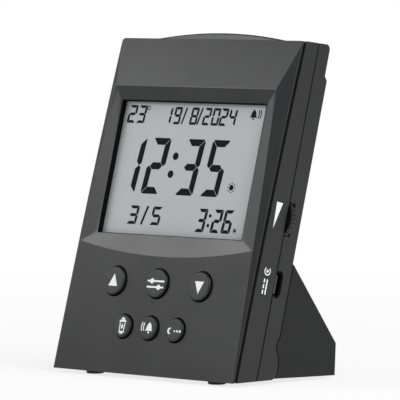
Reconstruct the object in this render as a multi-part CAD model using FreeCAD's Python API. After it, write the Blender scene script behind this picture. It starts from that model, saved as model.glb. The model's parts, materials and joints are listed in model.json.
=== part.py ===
import FreeCAD, Part
import math
import os

from FreeCAD import Vector

# A leaning desk prayer clock: a two-shell case on a wedge base, a hooded
# front with a recessed display, six round buttons, a pressable bar on top,
# a thumbwheel and a supply socket on the right side.
#
# Upright pieces are drawn in the face frame: x to the right, d backwards from
# the face, v up the face. lean_back() turns that frame into the row frame.
# Pieces of the wedge base are drawn level, straight in the row frame.
# All lengths are in millimetres and all angles in degrees.

# ---------------------------------------------------------------- overall
case_width = 90.0
half_width = case_width / 2.0
face_lean = 15.3            # the face leans back by this much
case_lift = 1.5             # underside of the case above the table
wall = 2.0                  # shell thickness of the mouldings

# ---------------------------------------------------------------- side outline
face_height = 123.2         # front edge of the side walls, up the face
rail_setback = 2.8          # how far that edge has fallen back at the top
rail_reach = 0.3            # how far it stands forward at the foot
rail_bow = 0.7              # how far it bulges at mid height
seam_depth = 10.5           # joint between the two shells, behind the face
seam_gap = 0.5
back_depth = 17.2           # rear surface above the raised panel
panel_rise = 1.4            # the raised rear panel stands this proud
panel_drop = 10.7           # from the raised rear panel's top to the face's top
panel_top = face_height - panel_drop
panel_bottom = 20.0         # lower end of the raised rear panel
heel_depth = 20.3           # rounded heel at the foot of the rear shell
heel_height = 9.5           # middle of the heel, up the face
heel_step = 0.6             # the rear shell under the panel stands out this far
heel_rise = 6.0             # upper end of the heel's curve above its middle
heel_bow = 0.35             # how far that curve bulges
heel_foot = 1.6             # the curve under the heel runs in this far
heel_foot_in = 0.24         # middle of that curve, in from the heel
heel_foot_up = 0.96         # and above the ground
top_rise = 8.5              # slope of the roof against the face normal
roof_round = 2.4            # radius at the top rear edge
edge_ease = 0.8             # bevel along the rear edges at both sides
roof_edge_round = 1.8       # radius along the roof's two side edges

# ---------------------------------------------------------------- hooded front
ridge_height = 104.6        # the hood's ridge, up the face
ridge_reach = 1.15          # the ridge stands this far in front of the face
foot_reach = 0.6            # the hood's lower edge in front of the face
panel_bow = 0.25            # bulge of the button panel
hood_inset = 5.4            # the ridge's ends inside the side walls
hood_edge_inset = 0.4       # the hood's side edges inside the case's sides
rim_step = 1.3              # the side walls' front rims behind the hood's edges
shadow_gap = 0.9            # open groove between those edges and the rims
rim_width = 0.9             # thickness of the rims
groove_width = 0.5          # gap between the fascia's skirt and the rims
flare_reach = 0.6           # the bezel's cutter starts this far before the hood
fascia_wall = 2.0
pocket_over_ridge = 0.9     # the pocket's back plane ends this far over the ridge
skirt_depth = 5.0           # the fascia's skirt reaches this deep

# ---------------------------------------------------------------- display window
window_side = 9.35          # from the case's side to the window
window_width = case_width - 2.0 * window_side
window_height = 49.1
window_bottom = 50.4
window_depth = -0.3         # depth of the bezel's inner edge
bezel_corner_drop = 3.5     # bevel height under the window's corners
bezel_middle_drop = 8.0     # bevel height under the window's middle
display_depth = 2.0         # front of the display behind the face
polariser_thickness = 0.2
glass_sheet = 1.1
display_margin = 1.4        # the display runs this far past the window
polariser_inset = 0.6       # the film's edge inside the glass
guide_inset = 0.4           # the light guide's edge inside the glass
ledge_height = 2.0          # contact ledge above and below the glass
guide_thickness = 3.0
guide_gap = 0.2
holder_wall = 1.6
holder_play = 0.2           # free room round the glass in its holder
holder_shelf = 4.0          # the holder reaches this far in behind the window
strip_short = 5.65          # the contact strips end this far inside the window
strip_length = window_width - 2.0 * strip_short
strip_width = 1.7           # contact strips between glass and board
strip_play = 0.1
strip_notch = 1.0           # the strips' slots start this far before the guide's back
backlight_length = 34.0
backlight_board = 0.5
backlight_lamps = 4
lamp_depth = 0.65           # the lamps stand this far off their board
lamp_half = 1.0
lamp_share = 0.4            # part of the guide's thickness that a lamp takes

# ---------------------------------------------------------------- boards
board_thickness = 1.6
board_back = 10.6           # rear side of the main board
board_side = 5.0            # from the case's side to the board
board_half_width = half_width - board_side
board_bottom = 9.0
board_room = 11.7           # from the board's top to the face's top
board_top = face_height - board_room
board_play = 0.4            # between the board and the screw bosses it passes
post_half = 2.2             # half the side of the square posts under the board
lower_post_side = 6.0       # from the board's side to each post
upper_post_side = 4.0
lower_post_height = 42.8
upper_post_drop = 3.5       # the upper posts under the board's top
lower_post = (board_half_width - lower_post_side, lower_post_height)
upper_post = (board_half_width - upper_post_side, board_top - upper_post_drop)
post_places = (lower_post, upper_post)
hook_side = 10.0            # from the board's side to the hooks at its edges
hook_place = board_half_width - hook_side
hook_width = 4.0
hook_lip = 1.5              # the hooks reach this far in behind the board
hook_thickness = 1.2
# Each board component: left and right side, height off the board, low and high edge.
component_sizes = (
    (-20.0, -8.0, 1.2, 54.0, 66.0),
    (4.0, 12.0, 1.5, 40.0, 46.0),
    (14.0, 20.0, 3.5, 50.0, 54.0),
    (-4.0, 4.0, 1.8, 50.0, 53.0),
    (-32.0, -27.0, 3.0, 62.0, 74.0),
    (-22.0, -20.0, 0.8, 48.0, 49.2),
    (-18.0, -16.0, 0.8, 48.0, 49.2),
    (-14.0, -12.0, 0.8, 48.0, 49.2),
    (-10.0, -8.0, 0.8, 48.0, 49.2),
)
sensor_side = 3.5
sensor_height = 16.0
sensor_place = (board_half_width - sensor_side, sensor_height)
sensor_half_width = 1.0
sensor_half_height = 0.7
sensor_thickness = 2.0
sensor_stand = 2.5          # the bead stands off the board on its leads
lead_pitch = 1.2
lead_half = 0.2

# ---------------------------------------------------------------- buttons
row_heights = (32.9, 16.8)
row_pitches = (21.1, 12.94)
row_hole_radii = (5.55, 4.55)
button_gap = 0.4            # radial gap round each cap
button_proud = 1.2          # caps stand this far out of the panel
button_ease = 0.4           # bevel round the front of each cap
button_travel = 0.6
lug_reach = 0.8             # two lugs on each cap catch behind the fascia
lug_half = 1.8
lug_thickness = 0.8
float_gap = 0.05            # loose fit between touching moving pieces
stem_half = 1.4             # half the side of each cap's square stem
switch_side = 6.0
switch_height = 3.5
plunger_half = 1.5          # half the side of a switch's square plunger
plunger_length = 1.5
plunger_clearance = 0.05

# ---------------------------------------------------------------- top bar
bar_side = 9.0              # from the case's side to the bar's end
bar_length = case_width - 2.0 * bar_side
bar_width = 5.2
bar_arch = 2.9              # height of the arch over the roof
bar_front = 7.3             # front side of the bar, behind the face
bar_gap = 0.3
bar_travel = 0.9
bar_flange = 1.2
bar_ease = 0.5
bar_end_drop = 0.2          # the arch starts this far under the roof
bar_stem_length = 5.0
bar_stem_width = 3.0

# ---------------------------------------------------------------- volume wheel
wheel_radius = 8.2
wheel_thickness = 2.2
wheel_proud = 1.9           # the rim stands this far out of the side
wheel_height = 60.9         # axis, up the face
wheel_front = 10.95         # front side of the wheel, behind the face
wheel_slot_length = 12.0
wheel_slot_width = 3.0
wheel_ribs = 32
wheel_notch = 0.35          # depth of the notches between the ribs
wheel_rib_share = 0.6       # part of the pitch that a rib's flat top takes
wheel_slot_lip = 0.5        # the slot is this thick at the outer side
wheel_slot_room = 2.0       # the room behind the slot reaches this far past the wall
wheel_gap = 0.2
wheel_arm = 2.2             # thickness of the arm that holds the volume control
wheel_arm_gap = 1.0
pot_half = 4.0              # half the side of the volume control behind the wheel
wheel_hub_radius = 2.0
hub_clearance = 0.05

# ---------------------------------------------------------------- supply socket
socket_height = 37.8        # middle, up the face
socket_wide = 8.94
socket_thick = 3.26
socket_length = 7.3
socket_skin = 0.3
socket_hole_margin = 0.33
socket_inset = 0.5          # mouth behind the outer side
socket_floor = 0.8
tongue_width = 6.6
tongue_thickness = 0.7

# ---------------------------------------------------------------- speaker
speaker_side = 32.0         # the speaker's square frame
speaker_height = 84.0
speaker_thickness = 4.6
speaker_plate = 1.0         # sheet thickness of the frame
magnet_share = 0.3          # part of the speaker's thickness taken by its magnet
speaker_yoke = 18.0         # side of the square yoke in front of the magnet
speaker_leg = 4.0
cone_radius = 14.0
cone_thickness = 0.4
magnet_radius = 7.5
speaker_play = 0.2
speaker_fence = 1.5         # thickness of the fences round the speaker
fence_depth = 2.5
fence_length = 10.0
grille_radius = 13.5        # the slots of the grille fill a circle
grille_slots = 7
grille_slot_width = 1.4

# ---------------------------------------------------------------- wedge base
base_inset = 0.3            # each side of the base inside the case's side
base_width = case_width - 2.0 * base_inset
base_batter = 0.6           # the rear wall's top stands this much further back
base_top_height = 41.3
base_ledge = 0.5            # level ledge between the case and the slope
base_rear_lift = 1.0        # underside above the table, at the rear
base_front_lift = 1.9       # and under the case
base_wall = 1.8
base_slope_wall = 2.6
base_seat_wall = 1.2        # wall along the case
base_edge = 0.8             # radius of the base's outer edges

# ---------------------------------------------------------------- battery door
door_side = 7.5             # from the base's side to the door
door_half_width = base_width / 2.0 - door_side
door_thickness = 1.7
door_length = 32.0
door_gap = 0.25
door_under_gap = 0.2
door_shelf = 2.0            # ledges under the door's sides
door_tongue = 1.2           # tongues run in grooves at both sides
door_tongue_depth = 0.8
door_tongue_thickness = 0.7
door_tongue_gap = 0.15
door_tongue_start = 1.0     # the tongues start this far down the door
door_tongue_end = 3.0       # and end this far short of the slope's foot
door_sill = 0.8             # strip of the slope's wall left at the door's foot
door_grooves = 4
door_groove_start = 5.0
door_groove_pitch = 2.0
door_groove_depth = 0.5
door_groove_length = 18.0

# ---------------------------------------------------------------- cells
cell_radius = 7.1
cell_length = 49.5
cell_nipple_radius = 2.7
cell_nipple_length = 1.0
cell_gap = 0.3
cell_door_gap = 0.35
cell_seat_gap = 0.58        # between the upper cell and the wall along the case
contact_thickness = 0.4
contact_width = 6.0
contact_half_height = 5.0
contact_room = 2.4          # between each cell's flat end and its contact
partition_thickness = 1.2
leaf_half = 4.5             # half the length of a contact's bent leaf
leaf_tip_half = 1.0
bridge_half = 3.0           # half the width of the plate that joins both cells
bridge_end = 4.8            # the plate runs this far past the cells' axes

# ---------------------------------------------------------------- feet
foot_radius = 3.2
foot_height = 1.9
foot_side = 14.8            # from the case's side to each foot's middle
foot_spread = half_width - foot_side
foot_play = 0.1
front_foot_back = 6.4       # front feet behind the face's foot
rear_foot_front = 6.0       # rear feet ahead of the base's rear foot

# ---------------------------------------------------------------- screws
screw_head_radius = 2.4
screw_head_height = 1.5
screw_radius = 1.15
screw_fit = 0.05
screw_grip = 4.5            # thread length in the front frame
screw_tip_room = 0.4        # free depth past each screw's end
screw_play = 0.25
boss_half = 2.9             # half the side of the square screw bosses
boss_room = 0.85            # between the lower bosses and the cells' partitions
partition_place = cell_length / 2.0 + contact_room + contact_thickness
lower_boss_place = partition_place + partition_thickness + boss_room + boss_half
upper_boss_side = 5.8       # from the case's side to the upper bosses
upper_boss_drop = 6.7       # and from the face's top
lower_boss_height = 27.0
upper_boss = (half_width - upper_boss_side, face_height - upper_boss_drop)
lower_boss = (lower_boss_place, lower_boss_height)
counterbore = 3.4

# ---------------------------------------------------------------- shell joint
lap_thickness = 0.9
lap_length = 2.0
lap_root = 1.0              # the lap starts this far before its shell's edge
lap_play = 0.1
rib_half = 0.9              # half thickness of the ribs beside the bosses
overlap = 0.3               # pieces of one moulding run this far into each other
beyond = 2.0 * case_width   # a cutter of this size reaches past every piece
tiny = 0.01                 # two lengths closer than this count as equal

lean_sin = math.sin(math.radians(face_lean))
lean_cos = math.cos(math.radians(face_lean))
rise_tan = math.tan(math.radians(top_rise))
rise_cos = math.cos(math.radians(top_rise))
wheel_x = half_width + wheel_proud - wheel_radius


# ================================================================ helpers
pieces = {}


def keep(name, shape):
    pieces[name] = shape


def block(x0, x1, d0, d1, v0, v1):
    return Part.makeBox(x1 - x0, d1 - d0, v1 - v0, Vector(x0, d0, v0))


def square_d(x, v, d0, d1, half):
    """A square post along the depth."""
    return block(x - half, x + half, d0, d1, v - half, v + half)


def rod_d(x, v, d0, d1, radius):
    return Part.makeCylinder(radius, d1 - d0, Vector(x, d0, v), Vector(0, 1, 0))


def rod_x(y, z, x0, x1, radius):
    return Part.makeCylinder(radius, x1 - x0, Vector(x0, y, z), Vector(1, 0, 0))


def rod_z(x, y, z0, z1, radius):
    return Part.makeCylinder(radius, z1 - z0, Vector(x, y, z0), Vector(0, 0, 1))


def side_point(point, x):
    return Vector(x, point[0], point[1])


def side_face(start, steps, x):
    """A face in the side plane at x. A step is an end point, or a pair of
    a point on an arc and the arc's end point."""
    edges = []
    here = side_point(start, x)
    for step in list(steps) + [start]:
        if isinstance(step[0], tuple):
            middle = side_point(step[0], x)
            there = side_point(step[1], x)
            edges.append(Part.Arc(here, middle, there).toShape())
        else:
            there = side_point(step, x)
            edges.append(Part.LineSegment(here, there).toShape())
        here = there
    return Part.Face(Part.Wire(edges))


def side_prism(start, steps, x0, x1):
    return side_face(start, steps, x0).extrude(Vector(x1 - x0, 0, 0))


def level_v(height, d):
    """Place up the face of a level plane at this height over the underside."""
    return (height + d * lean_sin) / lean_cos


def roof_v(d):
    return face_height + (d - rail_setback) * rise_tan


def bowed_middle(low, high, bow):
    """Point halfway along a line, pushed forward by the bow."""
    return ((low[0] + high[0]) / 2.0 - bow, (low[1] + high[1]) / 2.0)


def lean_back(shape):
    shape = shape.copy()
    shape.rotate(Vector(0, 0, 0), Vector(1, 0, 0), -face_lean)
    shape.translate(Vector(0, 0, case_lift))
    return shape


def row_point(x, d, v):
    """A face-frame point in the row frame, before the last shift."""
    return Vector(x, d * lean_cos + v * lean_sin, case_lift + v * lean_cos - d * lean_sin)


def face_frame(shape):
    """A level shape turned back into the face frame."""
    shape = shape.copy()
    shape.translate(Vector(0, 0, -case_lift))
    shape.rotate(Vector(0, 0, 0), Vector(1, 0, 0), face_lean)
    return shape


def mirrored_x(shape):
    return shape.mirror(Vector(0, 0, 0), Vector(1, 0, 0))


def both_sides(*places):
    """Each place and its mirror image."""
    result = []
    for x, v in places:
        result.append((-x, v))
        result.append((x, v))
    return result


# ================================================================ case outline
rail_foot = (-rail_reach, level_v(0.0, -rail_reach))
rail_head = (rail_setback, face_height)
rail_middle = bowed_middle(rail_foot, rail_head, rail_bow)
arc_cut = 0.28              # how far a quarter round's middle stays off its corner
panel_depth = back_depth + panel_rise
inner_back = panel_depth - wall


def roof_corner(depth, inset):
    """Roof line and the rounded rear top edge, for a skin this far inside."""
    drop = inset / rise_cos
    radius = roof_round * roof_round / (roof_round + inset)
    start = (depth - radius, roof_v(depth - radius) - drop)
    end = (depth, roof_v(depth) - drop - radius)
    cut = radius * arc_cut
    middle = (depth - cut, roof_v(depth) - drop - cut)
    return start, middle, end


def outline_steps(ease):
    """The case outline behind the rail edge, its rear drawn in by the ease."""
    back = back_depth - ease
    panel = panel_depth - ease
    heel = heel_depth - ease
    foot = heel - heel_foot
    heel_middle = (heel - heel_foot_in, level_v(heel_foot_up, heel))
    roof_start, roof_middle, roof_end = roof_corner(back, 0.0)
    return [
        (rail_middle, rail_head),
        roof_start,
        (roof_middle, roof_end),
        (back, panel_top + panel_rise),
        (panel, panel_top),
        (panel, panel_bottom),
        (back + heel_step, panel_bottom - panel_rise),
        (back + heel_step, heel_height + heel_rise),
        ((heel - heel_bow, heel_height + heel_rise / 2.0), (heel, heel_height)),
        (heel_middle, (foot, level_v(0.0, foot))),
    ]


def rounded_roof(shape):
    """The shape with the roof's two side edges rounded."""
    radius = roof_edge_round
    near = half_width - radius
    far = half_width + radius
    top = roof_v(-radius)
    cut = radius * (1.0 - math.sqrt(0.5))
    start = Vector(near, -radius, top)
    end = Vector(half_width, -radius, top - radius)
    middle = Vector(half_width - cut, -radius, top - cut)
    edges = [Part.Arc(start, middle, end).toShape()]
    corners = [end, Vector(far, -radius, top - radius)]
    corners += [Vector(far, -radius, top + radius), Vector(near, -radius, top + radius), start]
    for a, b in zip(corners, corners[1:]):
        edges.append(Part.LineSegment(a, b).toShape())
    run = heel_depth + radius
    right = Part.Face(Part.Wire(edges)).extrude(Vector(0, run, run * rise_tan))
    return shape.cut(right).cut(mirrored_x(right))


def case_envelope():
    """The whole case outline from the hood's side edges to the rear shell."""
    flat = half_width - edge_ease
    middle = side_prism(rail_foot, outline_steps(0.0), -flat, flat)
    full = side_face(rail_foot, outline_steps(0.0), flat).OuterWire
    eased = side_face(rail_foot, outline_steps(edge_ease), half_width).OuterWire
    side = Part.makeLoft([full, eased], True, True)
    return rounded_roof(middle.fuse(side).fuse(mirrored_x(side)).removeSplitter())


def case_room(inset):
    """The room inside both shells, this far inside the outline."""
    roof_drop = inset / rise_cos
    roof_start, roof_middle, roof_end = roof_corner(back_depth - inset, inset)
    floor_front = (skirt_depth, level_v(inset, skirt_depth))
    floor_back = (back_depth - inset, level_v(inset, back_depth - inset))
    steps = [
        (skirt_depth, roof_v(skirt_depth) - roof_drop),
        roof_start,
        (roof_middle, roof_end),
        (back_depth - inset, panel_top - inset + panel_rise),
        (panel_depth - inset, panel_top - inset),
        (panel_depth - inset, panel_bottom + inset),
        (back_depth - inset, panel_bottom + inset - panel_rise),
        floor_back,
    ]
    return side_prism(floor_front, steps, inset - half_width, half_width - inset)


def behind_edges(shift, x):
    """Side face of all that lies behind the hood's side edges, moved back by the shift."""
    foot = (rail_foot[0] + shift, rail_foot[1])
    middle = (rail_middle[0] + shift, rail_middle[1])
    head = (rail_head[0] + shift, rail_head[1])
    steps = [foot, (middle, head), (head[0], beyond), (beyond, beyond), (beyond, -beyond)]
    return side_face((foot[0], -beyond), steps, x)


def edge_depth(v):
    """Depth of the hood's side edges at this height."""
    share = v / face_height
    chord = rail_foot[0] + (rail_head[0] - rail_foot[0]) * share
    return chord - 4.0 * rail_bow * share * (1.0 - share)


facet_fall = (edge_depth(ridge_height) + ridge_reach) / hood_inset


def facet_tool():
    """Everything behind the two slanted side facets of the hood."""
    right = behind_edges(0.0, half_width).extrude(Vector(-beyond, -beyond * facet_fall, 0))
    return right.common(mirrored_x(right))


envelope = case_envelope()
cavity = case_room(wall)
facets = facet_tool()


# ================================================================ front fascia
def hood_prism(x_half):
    """The hooded front, solid from its skin back to the skirt's end."""
    foot = (-foot_reach, level_v(0.0, -foot_reach))
    ridge = (-ridge_reach, ridge_height)
    steps = [
        (bowed_middle(foot, ridge, panel_bow), ridge),
        rail_head,
        (skirt_depth, roof_v(skirt_depth)),
        (skirt_depth, level_v(0.0, skirt_depth)),
    ]
    return side_prism(foot, steps, -x_half, x_half)


def panel_surface(v):
    """Depth of the button panel's skin at this height."""
    share = v / ridge_height
    chord = -foot_reach - (ridge_reach - foot_reach) * share
    return chord - 4.0 * panel_bow * share * (1.0 - share)


def bezel_flare():
    """Bevels from the window's edge out to the hood, arched along the bottom."""
    half = window_width / 2.0
    top = window_bottom + window_height
    corner_v = window_bottom - bezel_corner_drop
    front = -ridge_reach - panel_bow - flare_reach
    depth = window_depth - front
    top_scale = depth / (window_depth + ridge_reach)
    low_scale = depth / (window_depth - panel_surface(corner_v))
    corner_inset = (edge_depth(corner_v) - panel_surface(corner_v)) / facet_fall
    wide = half + (half_width - hood_inset - half) * top_scale
    wide_low = half + (half_width - corner_inset - half) * low_scale
    high = top + (ridge_height - top) * top_scale
    corner = window_bottom - bezel_corner_drop * low_scale
    middle = window_bottom - bezel_middle_drop * low_scale

    def ring(low_half, high_half, low, high, depth_at, arch):
        corners = [Vector(-low_half, depth_at, low), Vector(low_half, depth_at, low)]
        corners += [Vector(high_half, depth_at, high), Vector(-high_half, depth_at, high)]
        edges = []
        if arch is None:
            edges.append(Part.LineSegment(corners[0], corners[1]).toShape())
        else:
            lowest = Vector(0, depth_at, arch)
            edges.append(Part.Arc(corners[0], lowest, corners[1]).toShape())
        edges.append(Part.LineSegment(corners[1], corners[2]).toShape())
        edges.append(Part.LineSegment(corners[2], corners[3]).toShape())
        edges.append(Part.LineSegment(corners[3], corners[0]).toShape())
        return Part.Wire(edges)

    inner = ring(half, half, window_bottom, top, window_depth, None)
    outer = ring(wide_low, wide, corner, high, front, middle)
    return Part.makeLoft([inner, outer], True, True)


def button_places():
    """Name, row, x and v of each front button."""
    names = (("up", "ok", "down"), ("lamp", "bell", "doze"))
    places = []
    for row, row_names in enumerate(names):
        for column, name in enumerate(row_names):
            x = (column - 1) * row_pitches[row]
            places.append((name, row, x, row_heights[row]))
    return places


board_front = board_back - board_thickness
hood_half = half_width - hood_edge_inset
skirt_half = half_width - rim_width - groove_width
fascia_back = display_depth


def board_hook(x, edge, way):
    """A hook that catches behind one edge of the board, above it or below."""
    near = edge + way * 2.0 * float_gap
    far = near + way * hook_thickness
    tip = edge - way * hook_lip
    lip_front = board_back + float_gap
    lip_back = lip_front + hook_thickness
    left = x - hook_width / 2.0
    right = x + hook_width / 2.0
    arm = block(left, right, fascia_back - overlap, lip_back, min(near, far), max(near, far))
    lip = block(left, right, lip_front, lip_back, min(tip, far), max(tip, far))
    return arm.fuse(lip)


def make_front_fascia():
    solid = rounded_roof(hood_prism(hood_half).common(facets))
    for side in (-1, 1):
        under_edge = behind_edges(rim_step - shadow_gap, side * skirt_half)
        solid = solid.cut(under_edge.extrude(Vector(side * half_width, 0, 0)))
    inner_half = skirt_half - fascia_wall
    pocket_top = roof_v(skirt_depth) - fascia_wall
    pocket_foot = (fascia_back, level_v(fascia_wall, fascia_back))
    pocket = side_prism(
        pocket_foot,
        [
            (fascia_back, ridge_height + pocket_over_ridge),
            (rail_setback + fascia_wall, pocket_top),
            (skirt_depth + overlap, pocket_top),
            (skirt_depth + overlap, level_v(fascia_wall, skirt_depth + overlap)),
        ],
        -inner_half,
        inner_half,
    )
    solid = solid.cut(pocket)
    solid = solid.cut(bezel_flare())
    half = window_width / 2.0
    top = window_bottom + window_height
    solid = solid.cut(block(-half, half, -beyond, skirt_depth, window_bottom, top))
    for name, row, x, v in button_places():
        solid = solid.cut(rod_d(x, v, -beyond, skirt_depth, row_hole_radii[row]))
    for x, v in both_sides(*post_places):
        solid = solid.fuse(square_d(x, v, fascia_back - overlap, board_front, post_half))
    for side in (-1, 1):
        solid = solid.fuse(board_hook(side * hook_place, board_top, 1))
        solid = solid.fuse(board_hook(side * hook_place, board_bottom, -1))
    solid = solid.cut(face_frame(front_foot_recess()))
    return solid.removeSplitter()


# ================================================================ case shells
def wheel_slot():
    """Opening for the thumbwheel, longer inside than at the outer side."""
    front = wheel_front - wheel_gap
    back = front + wheel_slot_width
    half = wheel_slot_length / 2.0
    inside = half_width - wheel_slot_lip
    depth_in = half_width - wall - wheel_x
    inner_half = math.sqrt(wheel_radius ** 2 - depth_in ** 2) + 2.0 * wheel_gap
    slot = block(
        inside - overlap, beyond, front, back, wheel_height - half, wheel_height + half
    )
    relief = block(
        half_width - wall - wheel_slot_room,
        inside,
        front,
        back,
        wheel_height - inner_half,
        wheel_height + inner_half,
    )
    return slot.fuse(relief)


def stadium_x(x0, x1, d, v, wide, thick):
    """A rounded slot shape along x, long up the face."""
    straight = (wide - thick) / 2.0
    body = block(x0, x1, d - thick / 2.0, d + thick / 2.0, v - straight, v + straight)
    for end in (-straight, straight):
        cap = Part.makeCylinder(thick / 2.0, x1 - x0, Vector(x0, d, v + end), Vector(1, 0, 0))
        body = body.fuse(cap)
    return body.removeSplitter()


socket_depth = board_back + socket_thick / 2.0


def socket_hole():
    return stadium_x(
        half_width - wall - overlap,
        half_width + overlap,
        socket_depth,
        socket_height,
        socket_wide + 2.0 * socket_hole_margin,
        socket_thick + 2.0 * socket_hole_margin,
    )


def bar_slot():
    half = bar_length / 2.0 + bar_gap
    low = roof_v(bar_front) - 2.0 * wall
    return block(-half, half, bar_front - bar_gap, bar_front + bar_width + bar_gap, low, beyond)


def reach_to_wall(x, d0, d1, v):
    """A rib from a boss at x to the nearer side wall."""
    side = 1 if x > 0 else -1
    wall_x = side * (half_width - wall + overlap)
    return block(min(x, wall_x), max(x, wall_x), d0, d1, v - rib_half, v + rib_half)


def lap_ring(d0, d1, growth):
    """Skin around the inner room, for the lap joint of the shells."""
    slab = block(-beyond, beyond, d0, d1, -beyond, beyond)
    return case_room(wall - growth).common(slab).cut(cavity)


def make_front_frame():
    front_end = seam_depth - seam_gap / 2.0
    boss_front = skirt_depth
    rims = behind_edges(rim_step, -beyond).extrude(Vector(2.0 * beyond, 0, 0))
    solid = envelope.common(rims)
    solid = solid.cut(block(-beyond, beyond, front_end, beyond, -beyond, beyond))
    inner = half_width - rim_width
    roof_gap = skirt_depth + groove_width
    front_room = block(-inner, inner, -beyond, roof_gap, -beyond, beyond)
    solid = solid.cut(front_room).cut(cavity)
    solid = solid.fuse(lap_ring(front_end - lap_root, front_end + lap_length, lap_thickness))
    for x, v in both_sides(upper_boss, lower_boss):
        boss = square_d(x, v, boss_front, front_end, boss_half)
        boss = boss.fuse(reach_to_wall(x, boss_front, front_end, v))
        pilot = rod_d(x, v, front_end - screw_grip, beyond, screw_radius + screw_fit)
        solid = solid.fuse(boss).cut(pilot)
    solid = solid.cut(wheel_slot()).cut(socket_hole()).cut(bar_slot())
    solid = solid.cut(face_frame(front_foot_recess()))
    return solid.removeSplitter()


def grille_cutter(d0, d1):
    """Upright slots side by side, each as long as the grille's circle allows."""
    pitch = 2.0 * grille_radius / grille_slots
    cutters = []
    for step in range(grille_slots):
        x = (step - (grille_slots - 1) / 2.0) * pitch
        reach = math.sqrt(grille_radius ** 2 - x ** 2)
        half = grille_slot_width / 2.0
        low = speaker_height - reach
        cutters.append(block(x - half, x + half, d0, d1, low, speaker_height + reach))
    return Part.makeCompound(cutters)


def rear_skin_depth(v):
    """Depth of the rear shell's outer surface at this height."""
    if panel_bottom < v < panel_top:
        return panel_depth
    return back_depth


def speaker_fences():
    """Four short walls that hold the speaker's frame by its sides."""
    near = speaker_side / 2.0 + speaker_play
    far = near + speaker_fence
    half = fence_length / 2.0
    front = inner_back - fence_depth
    back = inner_back + overlap
    v = speaker_height
    fences = block(near, far, front, back, v - half, v + half)
    fences = fences.fuse(block(-far, -near, front, back, v - half, v + half))
    fences = fences.fuse(block(-half, half, front, back, v + near, v + far))
    return fences.fuse(block(-half, half, front, back, v - far, v - near))


def make_rear_case():
    front_end = seam_depth + seam_gap / 2.0
    solid = envelope.cut(block(-beyond, beyond, -beyond, front_end, -beyond, beyond))
    solid = solid.cut(cavity)
    rebate_end = front_end + lap_length - seam_gap + lap_play
    solid = solid.cut(lap_ring(front_end - lap_root, rebate_end, lap_thickness + lap_play))
    for x, v in both_sides(upper_boss, lower_boss):
        boss_end = rear_skin_depth(v) - wall + overlap
        solid = solid.fuse(square_d(x, v, front_end - seam_gap, boss_end, boss_half))
        solid = solid.cut(rod_d(x, v, 0, beyond, screw_radius + screw_play))
    for x, v in both_sides(upper_boss):
        seat = back_depth - counterbore
        solid = solid.cut(rod_d(x, v, seat, beyond, screw_head_radius + screw_play))
    solid = solid.cut(grille_cutter(inner_back - overlap, panel_depth + overlap))
    solid = solid.fuse(speaker_fences())
    solid = solid.cut(wheel_slot()).cut(socket_hole()).cut(bar_slot())
    return solid.removeSplitter()


# ================================================================ display stack
def window_frame(margin_x, margin_v, d0, d1):
    """A plate behind the window, larger than it by these margins."""
    half = window_width / 2.0 + margin_x
    low = window_bottom - margin_v
    high = window_bottom + window_height + margin_v
    return block(-half, half, d0, d1, low, high)


glass_front = display_depth + polariser_thickness
glass_back = glass_front + 2.0 * glass_sheet
guide_front = glass_back + guide_gap
guide_back = guide_front + guide_thickness
window_middle = window_bottom + window_height / 2.0
guide_margin = display_margin - guide_inset
guide_edge = -(window_width / 2.0 + guide_margin)
backlight_edge = guide_edge - lamp_depth


def make_display():
    margin = display_margin - polariser_inset
    polariser = window_frame(margin, margin, display_depth, glass_front)
    front_sheet = window_frame(
        display_margin, display_margin + ledge_height, glass_front, glass_front + glass_sheet
    )
    rear_sheet = window_frame(display_margin, display_margin, glass_front + glass_sheet, glass_back)
    glass = front_sheet.fuse(rear_sheet).removeSplitter()
    guide = window_frame(guide_margin, guide_margin, guide_front, guide_back)
    keep("display_polariser", lean_back(polariser))
    keep("display_glass", lean_back(glass))
    keep("light_guide", lean_back(guide))


def make_display_holder():
    """Open frame that carries the glass and the light guide on the board."""
    side = display_margin + holder_play
    top = display_margin + ledge_height + holder_play
    outer = window_frame(side + holder_wall, top + holder_wall, display_depth, board_front)
    room = window_frame(side, top, display_depth, guide_back)
    opening = window_frame(-holder_shelf, -holder_shelf, 0.0, board_front + overlap)
    holder = outer.cut(room).cut(opening)
    lamp_room = block(
        backlight_edge - backlight_board - strip_play,
        guide_edge + overlap,
        guide_front - strip_play,
        guide_back + strip_play,
        window_middle - backlight_length / 2.0 - holder_play,
        window_middle + backlight_length / 2.0 + holder_play,
    )
    holder = holder.cut(lamp_room)
    for v in strip_places():
        slot = block(
            -strip_length / 2.0 - holder_play,
            strip_length / 2.0 + holder_play,
            guide_back - strip_notch,
            board_front + overlap,
            v - strip_width / 2.0 - strip_play,
            v + strip_width / 2.0 + strip_play,
        )
        holder = holder.cut(slot)
    keep("display_holder", lean_back(holder.removeSplitter()))


def strip_places():
    """Height of the two contact strips, one behind each glass ledge."""
    middle = display_margin + ledge_height / 2.0 + float_gap
    return (window_bottom - middle, window_bottom + window_height + middle)


def make_contact_strips():
    strips = []
    for v in strip_places():
        strip = block(
            -strip_length / 2.0,
            strip_length / 2.0,
            glass_front + glass_sheet,
            board_front,
            v - strip_width / 2.0,
            v + strip_width / 2.0,
        )
        strips.append(strip)
    keep("contact_strips", lean_back(Part.makeCompound(strips)))


def make_backlight():
    """Narrow board with small lamps at the light guide's left edge."""
    half = backlight_length / 2.0
    board = block(
        backlight_edge - backlight_board,
        backlight_edge,
        guide_front,
        guide_back,
        window_middle - half,
        window_middle + half,
    )
    middle = (guide_front + guide_back) / 2.0
    front = middle - guide_thickness * lamp_share / 2.0
    back = middle + guide_thickness * lamp_share / 2.0
    pitch = backlight_length / backlight_lamps
    for step in range(backlight_lamps):
        v = window_middle - half + pitch * (step + 0.5)
        lamp = block(backlight_edge, guide_edge, front, back, v - lamp_half, v + lamp_half)
        board = board.fuse(lamp)
    keep("backlight_strip", lean_back(board.removeSplitter()))


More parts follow.
